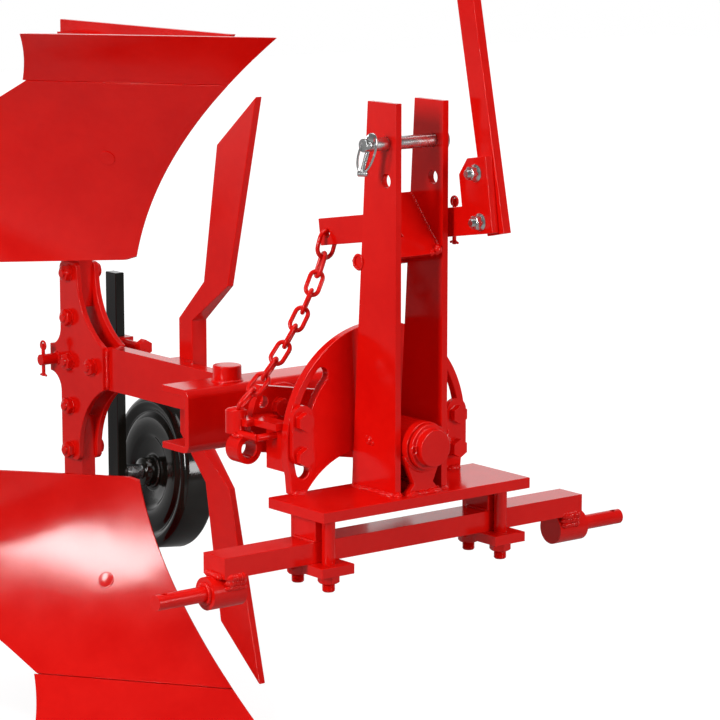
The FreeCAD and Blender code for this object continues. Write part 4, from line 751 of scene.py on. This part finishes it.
# Spatter and tack lumps: low domes, given by place, facing, width and height.
DOME = [(-1.5, 1.0), (0, 1.0), (0.35, 0.93), (0.7, 0.72), (0.92, 0.4), (1.0, 0.15)]
BRACE_FACING = (0.7, 0, 0.7)
LUMPS = [
    ((-13.4, -UPRIGHT_OUT, 174.4), RIGHT, 13, 4), ((-6, -UPRIGHT_OUT, 171), RIGHT, 7, 2),
    ((-20, -UPRIGHT_OUT, 178), RIGHT, 5, 1.6), ((44.4, 30, 447), BRACE_FACING, 12, 5),
    ((44, 20, 443), BRACE_FACING, 8, 3), ((-142, -186, 215), UP, 29, 4.5),
]
lumps = [
    turned(place, facing, [(h * high, r * wide / 2) for h, r in DOME], 28)
    for place, facing, wide, high in LUMPS
]
piece("weld_lumps", lumps, "headstock", "red_paint")


# ---------------------------------------------------------------- pins and small fasteners

# Lynch pin through the end of the top link pin: a tapered stem, a sprung ring that leans round
# it, a square head above and the ring's eye below.
stem_lean = np.array([0.26, 0.12, 1.0])
stem_up = stem_lean / np.linalg.norm(stem_lean)
stem_mid = np.array([24.0, -80.0, 586.0])
flat_out = np.array([0.8, 0.6, 0.0])
off_flat = np.array([0.6, -0.8, 0.0])
ring_mid = np.array([25.3, -80.8, 586.5])
ring_half_wide, ring_half_high, ring_bow = 11.4, 28.0, 3.0
ring_turn = np.linspace(0, 2 * math.pi, 73)[:-1, None]
ring_line = ring_mid + ring_half_wide * np.cos(ring_turn) * flat_out
ring_line = ring_line + ring_half_high * np.sin(ring_turn) * stem_up
ring_line = ring_line + off_flat * (ring_bow * np.cos(ring_turn) ** 2)
lynch = [
    turned(stem_mid - 24 * stem_up, stem_up, [(0, 2.6), (1, 3.4), (44, 3.5), (50, 2.4), (52, 1.2)], 24),
    wire(ring_line, 3.4, 12, "loop"),
    turned(stem_mid + 18 * stem_up, stem_up, [(0, 5.6), (0.6, 6.0), (10, 6.0), (10.6, 5.6)], 4),
    turned(stem_mid - 29 * stem_up - 6 * flat_out, flat_out, [(0, 3.6), (1, 4.4), (13, 4.4), (14, 3.6)], 20),
]
piece("lynch_pin_and_ring", lynch, "headstock", "zinc_plate", sharp=30)


def split_pin(top, way, eye_across, long, dia):
    """A round eye above the top, and two legs that part below the far end, along a way.

    The eye is an arc of 300 degrees; each leg is an eased line through four points.
    """
    way, eye_across, top = (np.asarray(given, float) for given in (way, eye_across, top))
    strand = dia * 0.62
    turn = np.radians(np.linspace(-60, 240, 26))[:, None]
    eye = top - way * (dia * 1.1) + dia * 1.15 * (np.cos(turn) * eye_across - np.sin(turn) * way)
    far = top + way * long
    legs = []
    for side in SIDES:
        out = side * eye_across
        line = [far - way * 2, far, far + way * 5 + 3 * out, far + way * 7 + 9 * out]
        legs.append(wire(rounded(line, 3.0, 0.8), strand, 10))
    return [wire(eye, strand, 12), *legs]


rocker_pin = split_pin((-12, 107, 496), DOWN, AHEAD, 46, 6.0)
rear_pin = split_pin((-872, -48, 188), DOWN, AHEAD, 36, 6.0)
shaft_pin = split_pin((70.5, -28, 172.5), (0, 0.98, 0.2), (0, 0.2, -0.98), 53, 5.0)
piece("rocker_split_pin", rocker_pin, "lever", "red_paint", sharp=30)
piece("rear_split_pin", rear_pin, "turnover", "red_paint", sharp=30)
piece("shaft_split_pin", shaft_pin, "turnover", "red_paint", sharp=30)

# Countersunk plough bolts, ground off almost level with the working faces; each starts below its face.
FACE_BOLTS = [
    ((-696.8, -47.1, -165.2), (0.545, -0.709, 0.449)),
    ((-682.3, -42.7, 517.6), (0.535, -0.705, -0.465)),
]
ground_head = [(0, 10), (2.2, 13.2), (3.2, 13), (3.6, 12), (3.3, 10.6)]
bolt_heads = [
    turned(np.array(spot) - 2 * np.array(facing), facing, ground_head)
    for spot, facing in FACE_BOLTS
]
piece("face_bolt_heads", bolt_heads, "turnover", "red_paint")


# ---------------------------------------------------------------- camera, light and floor

def looking(place, aim):
    """The turn of a lamp or camera at one place that looks at another."""
    return (Vector(aim) - Vector(place)).to_track_quat("-Z", "Y").to_euler()


def softbox(name, place, aim, wide, high, power):
    """A rectangular lamp with a soft face, turned towards a point: metres and watts."""
    lamp = bpy.data.lights.new(name, "AREA")
    lamp.shape = "RECTANGLE"
    lamp.size = wide
    lamp.size_y = high
    lamp.energy = power
    held = bpy.data.objects.new(name, lamp)
    held.location = place
    held.rotation_euler = looking(place, aim)
    scene.collection.objects.link(held)


# A long lens from ahead of the plough and to its right, a little above it.
EYE = Vector((3.2509, -2.6227, 1.0225))
AIM = Vector((-0.0358, -0.0456, 0.2861))
view = (AIM - EYE).normalized()
lens = bpy.data.cameras.new("camera")
lens.sensor_width = 36
lens.lens = 150
lens.clip_end = 100
camera = bpy.data.objects.new("camera", lens)
camera.location = EYE
camera.rotation_euler = looking(EYE, AIM)
scene.collection.objects.link(camera)
scene.camera = camera

softbox("overhead_softbox", (0.2, 0.1, 3.1), (-0.3, 0, 0.2), 2.4, 2.4, 40)
softbox("side_softbox", (0.17, -2.6, 1.2), (-0.7, 0, 0.0), 0.42, 1.15, 47)
softbox("front_softbox", (3.4, 1.1, 0.9), (-0.2, 0, 0.3), 1.2, 1.2, 50)

# The white sweep lies behind the plough as the camera sees it; the room on the camera's side
# is dimmer, and that is what polished faces turned to the camera mirror. Everything else gets
# the plain level of light that lights the plough evenly.
plain_level, room_level = 0.3, 0.12
world = bpy.data.worlds.new("studio")
world.use_nodes = True
scene.world = world
air = world.node_tree
air.nodes.clear()
path = add(air, "ShaderNodeLightPath")
heading = add(air, "ShaderNodeTexCoord").outputs["Generated"]
towards = add(
    air, "ShaderNodeVectorMath", {"operation": "DOT_PRODUCT", 1: tuple(view)}, {0: heading},
)
room = add(
    air, "ShaderNodeMapRange",
    {
        "interpolation_type": "SMOOTHSTEP", "From Min": 0.3, "From Max": 0.85,
        "To Min": room_level, "To Max": 1.0,
    },
    {"Value": towards.outputs["Value"]},
)
lit = add(
    air, "ShaderNodeMix", {"data_type": "FLOAT", 2: plain_level},
    {0: path.outputs["Is Glossy Ray"], 3: room.outputs["Result"]},
)
clear = add(
    air, "ShaderNodeMath", {"operation": "MAXIMUM"},
    {0: path.outputs["Is Camera Ray"], 1: path.outputs["Is Transmission Ray"]},
)
level = add(
    air, "ShaderNodeMix", {"data_type": "FLOAT", 3: 1.0},
    {0: clear.outputs["Value"], 2: lit.outputs[0]},
)
sky = add(air, "ShaderNodeBackground", {"Color": linear("#ffffff")}, {"Strength": level.outputs[0]})
add(air, "ShaderNodeOutputWorld", {}, {"Surface": sky.outputs["Background"]})

# The floor is a square under the plough's lowest point.
floor_z = cad_box[0].z
half_side = 12.0
corners = [(x * half_side, y * half_side, floor_z) for x, y in ((-1, -1), (1, -1), (1, 1), (-1, 1))]
floor_mesh = bpy.data.meshes.new("floor")
floor_mesh.from_pydata(corners, [], [(0, 1, 2, 3)])
floor = bpy.data.objects.new("floor", floor_mesh)
scene.collection.objects.link(floor)
pale, tree, shader, place = surface_material(
    "white_studio_floor",
    {"Roughness": 0.7, "Specular IOR Level": 0.1, "Emission Color": linear("#ffffff")},
)
grain = add(tree, "ShaderNodeTexNoise", {"Scale": 4.0, "Detail": 2.0}, {"Vector": place})
tone = add(
    tree, "ShaderNodeMix", {"data_type": "RGBA", 6: linear("#8e8e8e"), 7: linear("#969696")},
    {0: grain.outputs["Fac"]},
)
tree.links.new(tone.outputs[2], shader.inputs["Base Color"])
# Its glow makes the floor white to the eye, a little less so near the plough, and in polished
# faces that mirror the sweep far behind the plough. The shadow stays, on the paint beneath.
near_level, near_mirrored = 0.84, 0.05
path = add(tree, "ShaderNodeLightPath")
eye = add(
    tree, "ShaderNodeMath", {"operation": "MAXIMUM"},
    {0: path.outputs["Is Camera Ray"], 1: path.outputs["Is Transmission Ray"]},
)
beyond = add(
    tree, "ShaderNodeVectorMath", {"operation": "DOT_PRODUCT", 1: tuple(view)}, {0: place},
)
sweep = add(
    tree, "ShaderNodeMapRange",
    {
        "interpolation_type": "SMOOTHSTEP", "From Min": 1.0, "From Max": 5.0,
        "To Min": near_mirrored, "To Max": 1.0,
    },
    {"Value": beyond.outputs["Value"]},
)
distant = add(
    tree, "ShaderNodeMapRange",
    {
        "interpolation_type": "SMOOTHSTEP", "From Min": 0.5, "From Max": 4.0,
        "To Min": near_level, "To Max": 1.0,
    },
    {"Value": beyond.outputs["Value"]},
)
seen = add(
    tree, "ShaderNodeMath", {"operation": "MULTIPLY"},
    {0: eye.outputs["Value"], 1: distant.outputs["Result"]},
)
glow = add(
    tree, "ShaderNodeMath", {"operation": "MULTIPLY_ADD"},
    {0: path.outputs["Is Glossy Ray"], 1: sweep.outputs["Result"], 2: seen.outputs["Value"]},
)
tree.links.new(glow.outputs["Value"], shader.inputs["Emission Strength"])
floor_mesh.materials.append(pale)

scene.view_settings.view_transform = "Standard"
